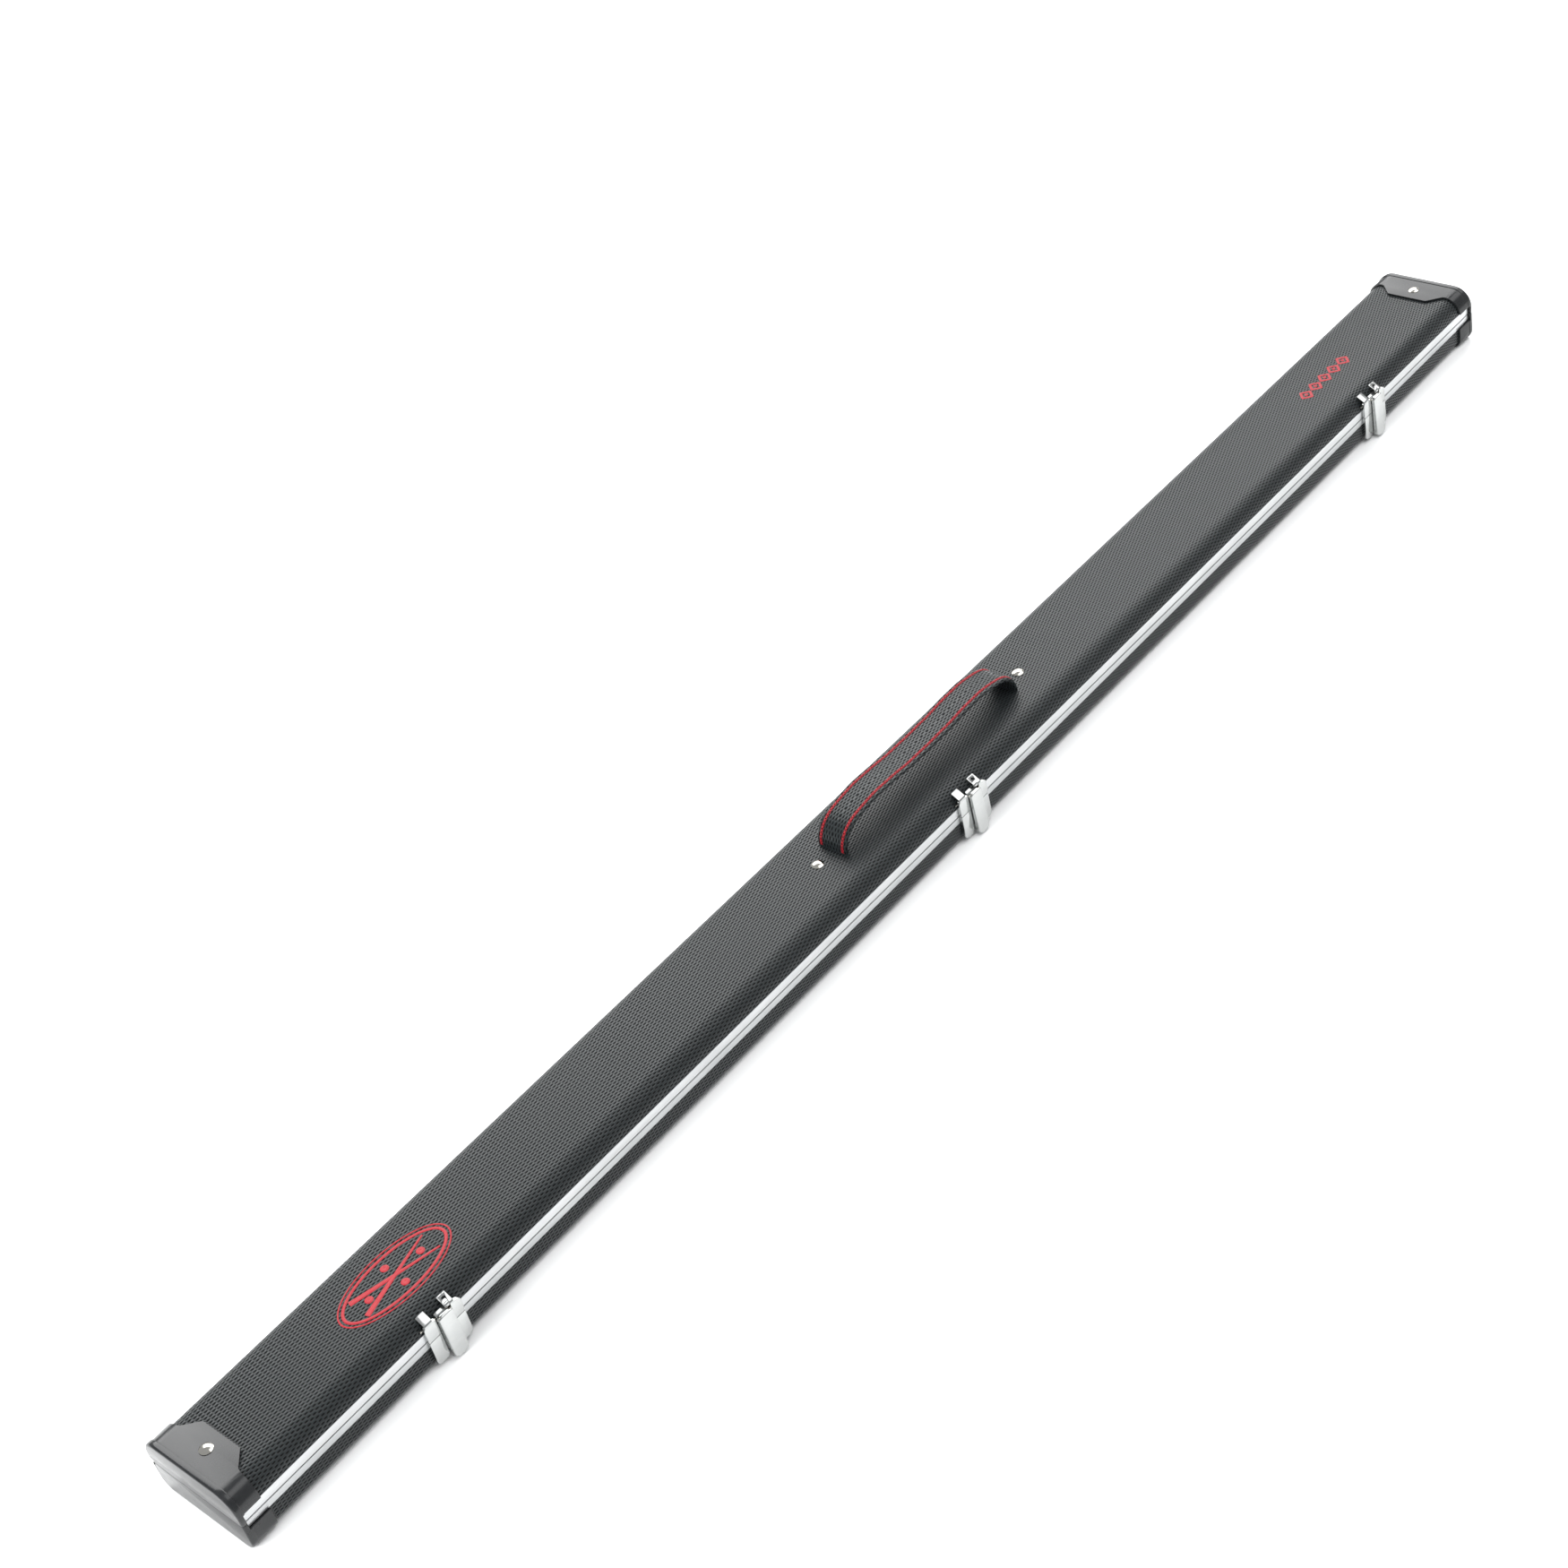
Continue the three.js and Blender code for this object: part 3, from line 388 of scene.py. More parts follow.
def woven_vinyl(name, lift=1.0):
    """Coated cloth whose ribs and gaps alternate like a long chequer, with painted shade darkening its colour
    down into the gaps. Surface UVs are in millimetres.
    """
    shader = Shader(name, (0.03, 0.035, 0.04), 0.5)
    where = shader.place(uv=True)
    axes = shader.node("ShaderNodeSeparateXYZ", Vector=where)
    along = shader.maths("COSINE", shader.maths("MULTIPLY", axes.outputs["X"], math.pi / RIB_LENGTH))
    across = shader.maths("COSINE", shader.maths("MULTIPLY", axes.outputs["Y"], math.pi / RIB_ROW))
    fibres = shader.noise(shader.place((0.5, 4, 1), uv=True), 1.0, 3.0, 0.6)
    chequer = shader.maths("ADD", shader.maths("MULTIPLY", along, across), shader.spread(fibres, -0.12, 0.12))
    crown = shader.spread(chequer, 0.0, 1.0, -0.6, 0.0)
    # gap_shade is painted shade: the colour ramp darkens from the rib crowns down into the gaps between the
    # ribs, where shade falls.
    gap_shade, side, top = (0.001, 0.0012, 0.0014), (0.005, 0.0065, 0.007), (0.013, 0.0165, 0.0175)
    shades = [(0.15, gap_shade), (0.5, tuple(c * lift for c in side)), (0.9, tuple(c * lift for c in top))]
    height = shader.maths("ADD", crown, shader.maths("MULTIPLY", chequer, 0.5))
    return shader.finish(
        Base_Color=shader.ramp(crown, shades),
        Roughness=shader.spread(crown, 1.0, 0.28),
        Normal=shader.bump(height, 0.8, 0.0003),
        Specular_IOR_Level=0.35,
    )


def satin_plastic():
    """Black moulded plastic with a fine skin and faint handling marks."""
    shader = Shader("cap_plastic", (0.012, 0.013, 0.014), 0.2)
    skin = shader.noise(shader.place(), 1500, 2.0)
    rubs = shader.noise(shader.place((90, 160, 160)), 1.0, 4.0, 0.6)
    return shader.finish(
        Base_Color=shader.ramp(rubs, [(0.3, (0.01, 0.011, 0.012)), (0.75, (0.017, 0.018, 0.019))]),
        Roughness=shader.spread(rubs, 0.16, 0.24, 0.3, 0.7),
        Normal=shader.bump(skin, 0.06, 0.00004),
        Specular_IOR_Level=0.42,
    )


def drawn_aluminium():
    """Satin anodised extrusion with fine lines along its length."""
    shader = Shader("rail_aluminium", (0.51, 0.52, 0.525), 0.3, 1.0)
    lines = shader.noise(shader.place((3, 2600, 2600)), 1.0, 4.0, 0.7)
    clouds = shader.noise(shader.place((25, 120, 120)), 1.0, 3.0)
    return shader.finish(
        Base_Color=shader.ramp(clouds, [(0.3, (0.49, 0.5, 0.505)), (0.75, (0.58, 0.59, 0.595))]),
        Roughness=shader.spread(lines, 0.24, 0.42),
        Normal=shader.bump(lines, 0.16, 0.00005),
    )


def bright_plate(name, colour, low, high):
    """Plated steel with slight orange peel and small smears."""
    shader = Shader(name, colour, low, 1.0)
    peel = shader.noise(shader.place(), 420, 2.0)
    smears = shader.noise(shader.place((90, 90, 220)), 1.0, 4.0, 0.6)
    return shader.finish(
        Base_Color=shader.ramp(smears, [(0.35, tuple(c * 0.93 for c in colour)), (0.7, colour)]),
        Roughness=shader.spread(smears, low, high, 0.3, 0.7),
        Normal=shader.bump(peel, 0.05, 0.0002),
    )


def open_foam():
    """Charcoal open-cell foam."""
    shader = Shader("egg_crate_foam", (0.012, 0.012, 0.013), 0.95)
    where = shader.place()
    cells = shader.node("ShaderNodeTexVoronoi", Vector=where, Scale=900.0)
    crumbs = shader.noise(where, 700, 4.0, 0.7)
    height = shader.maths("ADD", cells.outputs["Distance"], crumbs)
    return shader.finish(
        Base_Color=shader.ramp(crumbs, [(0.3, (0.006, 0.006, 0.007)), (0.8, (0.03, 0.03, 0.032))]),
        Normal=shader.bump(height, 0.9, 0.0007),
        Sheen_Weight=0.15,
    )


def flock():
    """Short black pile on the base's floor and on the end boards."""
    shader = Shader("flocked_lining", (0.009, 0.009, 0.01), 0.92)
    where = shader.place()
    pile = shader.noise(where, 2400, 4.0, 0.75)
    strokes = shader.noise(shader.place((18, 60, 60)), 1.0, 3.0)
    return shader.finish(
        Base_Color=shader.ramp(strokes, [(0.35, (0.006, 0.006, 0.0065)), (0.7, (0.016, 0.016, 0.017))]),
        Normal=shader.bump(pile, 0.6, 0.0003),
        Sheen_Weight=0.3,
        Sheen_Roughness=0.4,
    )


def red_thread():
    """Glossy embroidery thread with the slant of its twist, its colour darkened into the twist's grooves as
    painted shade.
    """
    shader = Shader("red_thread", (0.42, 0.008, 0.016), 0.5)
    twist = shader.node("ShaderNodeTexWave", Vector=shader.place(), Scale=420.0, Distortion=1.5, Detail=2.0)
    slant = twist.outputs["Fac"]
    return shader.finish(
        # The darker red follows the low parts of the twist: painted shade in the grooves.
        Base_Color=shader.ramp(slant, [(0.1, (0.19, 0.004, 0.009)), (0.7, (0.43, 0.01, 0.02))]),
        Roughness=shader.spread(slant, 0.6, 0.38),
        Normal=shader.bump(slant, 0.5, 0.0002),
    )


VINYL = woven_vinyl("woven_vinyl")
STRAP_VINYL = woven_vinyl("strap_vinyl", 1.15)
PLASTIC = satin_plastic()
ALUMINIUM = drawn_aluminium()
CHROME = bright_plate("latch_chrome", (0.53, 0.54, 0.535), 0.12, 0.24)
NICKEL = bright_plate("rivet_nickel", (0.62, 0.6, 0.55), 0.1, 0.2)
FOAM = open_foam()
FLOCK = flock()
THREAD = red_thread()


# ------------------------------------------------------------------ sections

LID = {"name": "lid", "up": 1, "radius": SHOULDER_RADIUS, "rise": LID_RISE, "rail": LID_RAIL_HEIGHT}
BASE = {"name": "base", "up": -1, "radius": KEEL_RADIUS, "rise": BASE_DROP, "rail": BASE_RAIL_HEIGHT}
HINGE_RAIL_HEIGHT = 9
RAIL_WEB = 2.6


def half_section(half, offset, foot, steps=10):
    """One half's outline from its front foot over the outside to its back foot, grown by offset."""
    side = HALF_WIDTH + offset
    radius = half["radius"] + offset
    centre_y = HALF_WIDTH - half["radius"]
    centre_z = half["rise"] - half["radius"]
    outline = [(-side, foot)]
    outline += arc(-centre_y, centre_z, radius, 180, 90, steps)
    outline += arc(centre_y, centre_z, radius, 90, 0, steps)
    outline.append((side, foot))
    return [(MID_Y + y, SEAM + half["up"] * z) for y, z in outline]


def cover(half):
    """The covered board of one half, open towards the seam."""
    outer = half_section(half, 0, RAIL_WEB + GAP)
    inner = half_section(half, -WALL, RAIL_WEB + GAP)
    shell = prism_x(f"{half['name']}_cover", outer + inner[::-1], -SHELL_END, SHELL_END, sharp=50)
    return placed(shell, half["name"], VINYL, [f"{half['name']}_shell"])


cover(LID)
cover(BASE)


# ------------------------------------------------------------------ end caps

CAP_OUT = 1.9
CAP_LIP = 2.6
CAP_END = 3.7
BEAD_ROUND = 1.8
BEAD_WIDTH = 5.4
WINGS = {"lid": 20.5, "base": 22.5}  # reach of the caps along the sides
FLAP = CASE_END - CAP_LOW.x
FLAP_HALF_WIDTH = 30
FLAP_CHAMFER = 11
HINGE_ROOM = 3.45  # radius kept clear about the hinge's axis
CUTTER_MARGIN = 10
RAIL_ROOM = 5  # how far the cuts that take the rails reach either side of the rails' faces


def cap_path():
    """(distance from the case's end, growth of the outline) round the cap's wall."""
    path = []
    for i in range(7):
        turn = math.radians(15 * i)
        path.append((BEAD_ROUND * (1 - math.sin(turn)), CAP_LIP - BEAD_ROUND * (1 - math.cos(turn))))
    path.reverse()
    path.append((BEAD_WIDTH - 0.7, CAP_LIP))
    path.append((BEAD_WIDTH - 0.2, CAP_LIP - 0.2))
    path.append((BEAD_WIDTH, CAP_OUT))
    path.append((FLAP, CAP_OUT))
    path.append((FLAP, GAP))
    path.append((CAP_END, GAP))
    return path


def cap_plan(side, wing):
    """Plan of the cap: wings along the sides and a chamfered flap between them."""
    tip = FLAP_HALF_WIDTH - FLAP_CHAMFER
    reach = HALF_WIDTH + CUTTER_MARGIN
    corners = [
        (-1, -reach, 0),
        (wing - 1.5, -reach, 0),
        (wing, -FLAP_HALF_WIDTH - 3, 2),
        (wing + 1, -FLAP_HALF_WIDTH, 0.6),
        (FLAP, -tip, 1.2),
        (FLAP, tip, 1.2),
        (wing + 1, FLAP_HALF_WIDTH, 0.6),
        (wing, FLAP_HALF_WIDTH + 3, 2),
        (wing - 1.5, reach, 0),
        (-1, reach, 0),
    ]
    return [(side * (CASE_END - d), MID_Y + y) for d, y in soft_corners(corners)]


def end_cap(half, end):
    side = ENDS[end]
    name = f"{half['name']}_cap_{end}"
    rings = []
    for distance, growth in cap_path():
        x = side * (CASE_END - distance)
        rings.append([(x, y, z) for y, z in half_section(half, growth, SEAM_GAP)])
    cap = loft(name, rings, sharp=30)
    tall = half["rise"] + CUTTER_MARGIN
    kept(cap, prism_z("plan", cap_plan(side, WINGS[half["name"]]), SEAM - tall, SEAM + tall))
    x0, x1 = sorted((side * (CASE_END - CAP_END), side * (CASE_END - FLAP - 1)))
    z0, z1 = sorted((SEAM - half["up"], SEAM + half["up"] * (half["rail"] + GAP)))
    front = box("front_room", x0, x1, MID_Y - FACE - RAIL_ROOM, MID_Y - FACE + RAIL_ROOM, z0, z1)
    z0, z1 = sorted((SEAM - half["up"], SEAM + half["up"] * (HINGE_RAIL_HEIGHT + GAP)))
    back = box("back_room", x0, x1, MID_Y + FACE - RAIL_ROOM, MID_Y + FACE + RAIL_ROOM, z0, z1)
    sweep = rod_x("sweep", HINGE_ROOM, -CASE_END - 1, CASE_END + 1, HINGE.y, HINGE.z)
    cut(cap, front, back, sweep)
    rounded(cap, 0.35, 2, 45)
    return placed(cap, half["name"], PLASTIC, [f"{half['name']}_end_cap_{end}"])


for part_half in (LID, BASE):
    for end_name in ENDS:
        end_cap(part_half, end_name)


# ------------------------------------------------------------------ rails

TONGUE_WIDTH = 1.2
TONGUE_RISE = 0.9
GROOVE_ROOM = 0.4  # room either side of the tongue
RAIL_LIP = 1.4
RAIL_WALL = 1.5
BACK_DROP = 1  # how much lower the back of a rail stands than its front


def face_points(height):
    """Front of a rail from its free edge to the seam."""
    return [
        (0.5, height),
        (0.12, height - 0.15),
        (0, height - 0.6),
        (0, SEAM_GAP + 0.45),
        (0.35, SEAM_GAP),
    ]


def front_rail(half):
    """A channel that takes the shell's edge, with a tongue on the lid and a groove on the base."""
    height = half["rail"]
    middle_depth = RAIL_DEPTH / 2
    outline = face_points(height)
    if half is LID:
        width = TONGUE_WIDTH / 2
        outline += [
            (middle_depth - width, SEAM_GAP),
            (middle_depth - width, SEAM_GAP - TONGUE_RISE),
            (middle_depth + width, SEAM_GAP - TONGUE_RISE),
            (middle_depth + width, SEAM_GAP),
        ]
    else:
        width = TONGUE_WIDTH / 2 + GROOVE_ROOM
        outline += [
            (middle_depth - width, SEAM_GAP),
            (middle_depth - width, TONGUE_RISE + 2 * SEAM_GAP),
            (middle_depth + width, TONGUE_RISE + 2 * SEAM_GAP),
            (middle_depth + width, SEAM_GAP),
        ]
    outline += [
        (RAIL_DEPTH - 0.3, SEAM_GAP),
        (RAIL_DEPTH, SEAM_GAP + 0.3),
        (RAIL_DEPTH, height - BACK_DROP - 0.3),
        (RAIL_DEPTH - 0.4, height - BACK_DROP),
        (RAIL_DEPTH - RAIL_LIP, height - BACK_DROP),
        (RAIL_DEPTH - RAIL_LIP, RAIL_WEB),
        (RAIL_WALL, RAIL_WEB),
        (RAIL_WALL, height),
    ]
    section = [(MID_Y - FACE + depth, SEAM + half["up"] * z) for depth, z in outline]
    rail = prism_x(f"{half['name']}_front_edge", section, -RAIL_END, RAIL_END, sharp=25)
    return placed(rail, half["name"], ALUMINIUM, [f"{half['name']}_front_rail"])


front_rail(LID)
front_rail(BASE)

for hinge_rail in ("lid_hinge_rail", "base_hinge_rail"):
    dressed(hinge_rail, ALUMINIUM, 25)


# ------------------------------------------------------------------ rivets

DOME_RADIUS = 5
DOME_RISE = 1.9


def dome(node, name):
    """A polished domed head with a small rolled edge."""
    low, high = span(node)
    foot = high.z - DOME_RISE
    sphere = (DOME_RADIUS**2 + DOME_RISE**2) / (2 * DOME_RISE)
    sweep = math.asin(DOME_RADIUS / sphere)
    profile = [(0.05, foot - GAP), (DOME_RADIUS - 0.35, foot - GAP), (DOME_RADIUS, foot + 0.05)]
    steps = 12
    for i in range(1, steps):
        turn = sweep * (1 - i / steps)
        profile.append((sphere * math.sin(turn), high.z + sphere * (math.cos(turn) - 1)))
    profile.append((0.05, high.z))
    centre = Vector(((low.x + high.x) / 2, (low.y + high.y) / 2, 0))
    head = lathe(name, profile, centre)
    return placed(head, "lid", NICKEL, [node])


for end_name in ENDS:
    dome(f"lid_cap_rivet_{end_name}", f"cap_rivet_head_{end_name}")
    dome(f"handle_rivet_{end_name}", f"handle_rivet_head_{end_name}")


# ------------------------------------------------------------------ handle strap

STRAP_WIDTH = STRAP_HIGH.y - STRAP_LOW.y
STRAP_THICKNESS = 2.8
STRAP_CROWN = 0.25
STRAP_EDGE = 0.9
RIPPLES = ((0.25, 9), (0.15, 4.3))  # (size, length / 2 pi) of the band's unevenness
STRAP_SIDE = [
    # (distance from the middle, height above the lid) of the strap's middle line
    (107, -5),
    (107, 2),
    (105.5, 9),
    (100.5, 16),
    (91, 21),
    (77, 23.8),
    (58, 24.5),
    (36, 23.6),
    (16, 22.4),
    (0, 22),
]


def curve_through(points, steps):
    """A Catmull-Rom curve through points."""
    line = []
    for i in range(len(points) - 1):
        a = Vector(points[max(i - 1, 0)])
        b = Vector(points[i])
        c = Vector(points[i + 1])
        d = Vector(points[min(i + 2, len(points) - 1)])
        for k in range(steps):
            t = k / steps
            bend = (2 * a - 5 * b + 4 * c - d) * t**2
            twist = (3 * b - a - 3 * c + d) * t**3
            line.append(0.5 * (2 * b + (c - a) * t + bend + twist))
    line.append(Vector(points[-1]))
    return line


def strap_line():
    """(x, z) points along the strap's middle, from the near foot to the far foot."""
    near = [(-x, LID_HIGH.z + z) for x, z in STRAP_SIDE]
    far = [(-x, z) for x, z in reversed(near[:-1])]
    return curve_through(near + far, 8)


def strap_frames():
    """(place, outward direction, distance along) for each point of the strap."""
    line = strap_line()
    frames = []
    distance = 0.0
    for i, point in enumerate(line):
        before, after = line[max(i - 1, 0)], line[min(i + 1, len(line) - 1)]
        along = (after - before).normalized()
        outward = Vector((-along.y, along.x))
        if i:
            distance += (point - line[i - 1]).length
        ripple = sum(size * math.sin(distance / length) for size, length in RIPPLES)
        frames.append((point + outward * ripple, outward, distance))
    return frames


def strap_point(frame_at, across, out):
    place, outward, _ = frame_at
    return (place.x + outward.x * out, MID_Y + across, place.y + outward.y * out)


def strap_section():
    """(across, out) corners of the padded band, counted from the middle of its top."""
    half = STRAP_WIDTH / 2
    thick = STRAP_THICKNESS / 2
    edge = STRAP_EDGE
    top = [(half * i / 6, thick + STRAP_CROWN * (1 - (i / 6) ** 2)) for i in range(6)]
    side = arc(half - edge, thick - edge, edge, 90, 0, 4)
    side += arc(half - edge, -thick + edge, edge, 0, -90, 4)
    half_ring = top + side
    left = [(-across, out) for across, out in reversed(half_ring[1:])]
    return half_ring + left


def handle():
    frames = strap_frames()
    section = strap_section()
    rings = [[strap_point(f, across, out) for across, out in section] for f in frames]
    strap = loft("handle_band", rings, sharp=60, uv_along=[f[2] for f in frames])
    return placed(strap, "lid", STRAP_VINYL, ["handle_strap"])


STITCH_PITCH = 5
STITCH_SWING = 1.2
STITCH_INSET = 3.6
STITCH_MARGIN = 6  # bare length at each end of the strap
THREAD_RADIUS = 0.42
STITCH_LIFT = 0.12  # height of a stitch's ends above the band, and of its arch above them
STITCH_ARCH = 0.25


def frame_near(frames, distance):
    """The strap frame at a distance along it, between its two neighbours."""
    for a, b in zip(frames, frames[1:]):
        if a[2] <= distance <= b[2]:
            t = (distance - a[2]) / (b[2] - a[2])
            return a[0].lerp(b[0], t), a[1].lerp(b[1], t).normalized(), distance
    return frames[-1]


def tube(name, path, radius, sides=6):
    """A round thread through 3-D points, thinner at its ends."""
    rings = []
    for i, point in enumerate(path):
        before, after = path[max(i - 1, 0)], path[min(i + 1, len(path) - 1)]
        along = (after - before).normalized()
        across = along.cross(Vector((0.3, 0.2, 1))).normalized()
        over = along.cross(across)
        size = radius * (0.35 if i in (0, len(path) - 1) else 1)
        turns = [2 * math.pi * k / sides for k in range(sides)]
        rings.append([tuple(point + (across * math.cos(t) + over * math.sin(t)) * size) for t in turns])
    return loft(name, rings, sharp=80)


def stitch(frames, start, across, turn):
    """One slanting stitch from start, from one side of the seam line to the other."""
    path = []
    for k in range(5):
        t = k / 4
        here = frame_near(frames, start + STITCH_PITCH / 2 * t)
        rise = STRAP_THICKNESS / 2 + STITCH_LIFT + STITCH_ARCH * math.sin(math.pi * t)
        path.append(Vector(strap_point(here, across + turn * STITCH_SWING * (2 * t - 1), rise)))
    return tube("stitch", path, THREAD_RADIUS)


def stitching():
    """Two crossing zigzags of red thread along each edge of the strap."""
    frames = strap_frames()
    length = frames[-1][2]
    stitches = []
    count = int((length - 2 * STITCH_MARGIN) / STITCH_PITCH * 2)
    for across in (-STRAP_WIDTH / 2 + STITCH_INSET, STRAP_WIDTH / 2 - STITCH_INSET):
        for k in range(count):
            start = STITCH_MARGIN + k * STITCH_PITCH / 2
            for turn in (-1, 1):
                stitches.append(stitch(frames, start, across, turn))
    threads = merged("handle_stitching", stitches)
    return placed(threads, "lid", THREAD)


handle()
stitching()


# ------------------------------------------------------------------ latches

SHEET = 1.2
PLATE_BACK = GAP
PLATE_FACE = PLATE_BACK + SHEET
LEG_RISE = 1.5
LEG_FACE = PLATE_FACE + LEG_RISE  # raised legs stand in front of their bridge
LEG_LEFT = -6.3
LEG_RIGHT = 7.8
LEFT_FOOT = -22.5  # lower ends of the base plate's legs, from the seam
RIGHT_FOOT = -22
BRIDGE_TOP = 8
NOTCH_TOP = -18.7
SHOULDER_SLOPE = math.radians(31)
SIDE_FOLD = (LEG_FACE, 15.4)  # (distance in front of the rail's face, height above the seam)
INNER_FOLD = (2.4, 15.75)
MIDDLE_FOLD = (PLATE_FACE, 12.6)
TAB_REACH = 8
MIDDLE_REACH = 3
LEFT_TAB = (-15.6, -8.3)
MIDDLE_TAB = (-4.3, 4)
RIGHT_TAB = (4, 11.5)
TAB_BEND = 1.6
ROOT_INSET = 0.15  # a tab's root stays inside its leg's face
SLOT_INSET = 2.2
SLOT_DEPTH = (1.4, 3.4)
SLOT_HEIGHTS = (12, 24)
LEVER_CENTRE = 0.7
LEVER_WIDTH = 12.4
LEVER_TOP = 14.6
LEVER_FOOT = -25.2
LEVER_OUT_TOP = 6.3
LEVER_OUT_FOOT = 7.8
LEVER_WALL = 1
LIP_BACK = 2.1
LIP_FRONT = 7
LIP_LOW = LEVER_FOOT + 2.4
LIP_HIGH = LIP_LOW + 1
LIP_SLOT = (-1.7, 3.3)  # sides of the lip's slot from the latch's middle
LIP_SLOT_DEPTH = (5.2, 3.4)
EAR_HALF = 0.4  # half the thickness of a pin ear
KNUCKLE_RADIUS = 1.5
LINK_HALF = 0.6


def latch_section(points):
    """(distance in front of the rail's face, height above the seam) to (y, z)."""
    return [(MID_Y - FACE - out, SEAM + v) for out, v in points]


def front_outline(x, corners, steps=5):
    return [(x + a, SEAM + v) for a, v in soft_corners(corners, steps)]


def tab_section(fold, root, reach):
    """A tab that rises to its fold and then leans back up the shoulder, with a rounded fold."""
    out, height = fold
    climb = math.tan(SHOULDER_SLOPE)
    tip_height = height + reach * climb
    outer = soft_corners([(out - ROOT_INSET, root, 0), (out, height, TAB_BEND), (out - reach, tip_height, 0)])
    drop = SHEET / math.cos(SHOULDER_SLOPE)
    inner = [
        (out - reach, tip_height - drop),
        (out - SHEET, height - drop + SHEET * climb),
        (out - SHEET, root),
    ]
    return latch_section(outer + inner)


def tab(fold, root, reach, left, right):
    return rounded(prism_x("tab", tab_section(fold, root, reach), left, right), 0.3)


def raised_leg(x, corners):
    """A rounded leg that stands forward of the bridge, open behind."""
    front = MID_Y - FACE - LEG_FACE
    back = MID_Y - FACE - PLATE_BACK
    leg = rounded(prism_y("leg", front_outline(x, corners), front, back), 0.45)
    across = [corner[0] for corner in corners]
    heights = [corner[1] for corner in corners]
    left, right = x + min(across) + SHEET, x + max(across) - SHEET
    low, high = SEAM + min(heights) + 2 * SHEET, SEAM + max(heights) - 2 * SHEET
    return cut(leg, box("hollow", left, right, front + SHEET, back + 1, low, high))


def behind_lever(x, low, high):
    """Flat sheet between the two legs of a plate."""
    front = MID_Y - FACE - PLATE_FACE
    back = MID_Y - FACE - PLATE_BACK
    return box("bridge", x + LEG_LEFT - 1, x + LEG_RIGHT + 1, front, back, SEAM + low, SEAM + high)


def lid_plate(x):
    """Two raised legs joined by a bridge behind the lever, three folded tabs and two pin ears."""
    leg_top = SIDE_FOLD[1] - 1
    left_corners = [
        (PLATE_LEFT, SEAM_GAP, 0.3),
        (LEG_LEFT, SEAM_GAP, 0.3),
        (LEG_LEFT, leg_top, 0.6),
        (PLATE_LEFT, leg_top, 2.4),
    ]
    right_corners = [
        (LEG_RIGHT, SEAM_GAP, 0.3),
        (PLATE_RIGHT, SEAM_GAP, 0.3),
        (PLATE_RIGHT, leg_top, 3.4),
        (LEG_RIGHT, leg_top, 0.6),
    ]
    pieces = [raised_leg(x, left_corners), raised_leg(x, right_corners)]
    pieces.append(behind_lever(x, SEAM_GAP, BRIDGE_TOP))
    root = leg_top - 4
    inner_reach = TAB_REACH - LEG_FACE + INNER_FOLD[0]
    left, middle_side, right = (x + edge for edge in (LEFT_TAB[0], MIDDLE_TAB[0], RIGHT_TAB[0]))
    pieces.append(tab(SIDE_FOLD, root, TAB_REACH, left, x + LEFT_TAB[1]))
    side_tab = tab(SIDE_FOLD, root, TAB_REACH, x + LEG_RIGHT + 0.1, x + RIGHT_TAB[1])
    inner_tab = tab(INNER_FOLD, leg_top, inner_reach, right, x + LEG_RIGHT + 0.6)
    slot_sides = (right + SLOT_INSET, x + RIGHT_TAB[1] - SLOT_INSET)
    slot_depths = (MID_Y - FACE + depth for depth in SLOT_DEPTH)
    slot_heights = (SEAM + height for height in SLOT_HEIGHTS)
    slot = (*slot_sides, *slot_depths, *slot_heights)
    for piece in (side_tab, inner_tab):
        pieces.append(cut(piece, box("slot", *slot)))
    pieces.append(tab(MIDDLE_FOLD, BRIDGE_TOP - 1, MIDDLE_REACH, middle_side, x + MIDDLE_TAB[1]))
    ear = latch_section([(PLATE_BACK, 0.6), (4.3, 0.6), (5, 1.3), (5, 3.1), (4.3, 3.8), (PLATE_BACK, 5)])
    for side in (-1, 1):
        ear_x = x + LEVER_CENTRE + side * (LEVER_WIDTH / 2 - LEVER_WALL - GAP - EAR_HALF)
        pieces.append(rounded(prism_x("ear", ear, ear_x - EAR_HALF, ear_x + EAR_HALF), 0.15))
    return merged("lid_plate", pieces)


def base_plate(x):
    """Two raised feet with a flat web between them."""
    left_corners = [
        (PLATE_LEFT, -SEAM_GAP, 0.3),
        (PLATE_LEFT, LEFT_FOOT, 3.4),
        (LEG_LEFT, LEFT_FOOT, 3.4),
        (LEG_LEFT, -SEAM_GAP, 0.3),
    ]
    right_corners = [
        (LEG_RIGHT, -SEAM_GAP, 0.3),
        (LEG_RIGHT, RIGHT_FOOT, 1.2),
        (PLATE_RIGHT, RIGHT_FOOT, 4.4),
        (PLATE_RIGHT, -SEAM_GAP, 0.3),
    ]
    feet = [raised_leg(x, corners) for corners in (left_corners, right_corners)]
    return merged("base_plate", [*feet, behind_lever(x, NOTCH_TOP, -SEAM_GAP)])


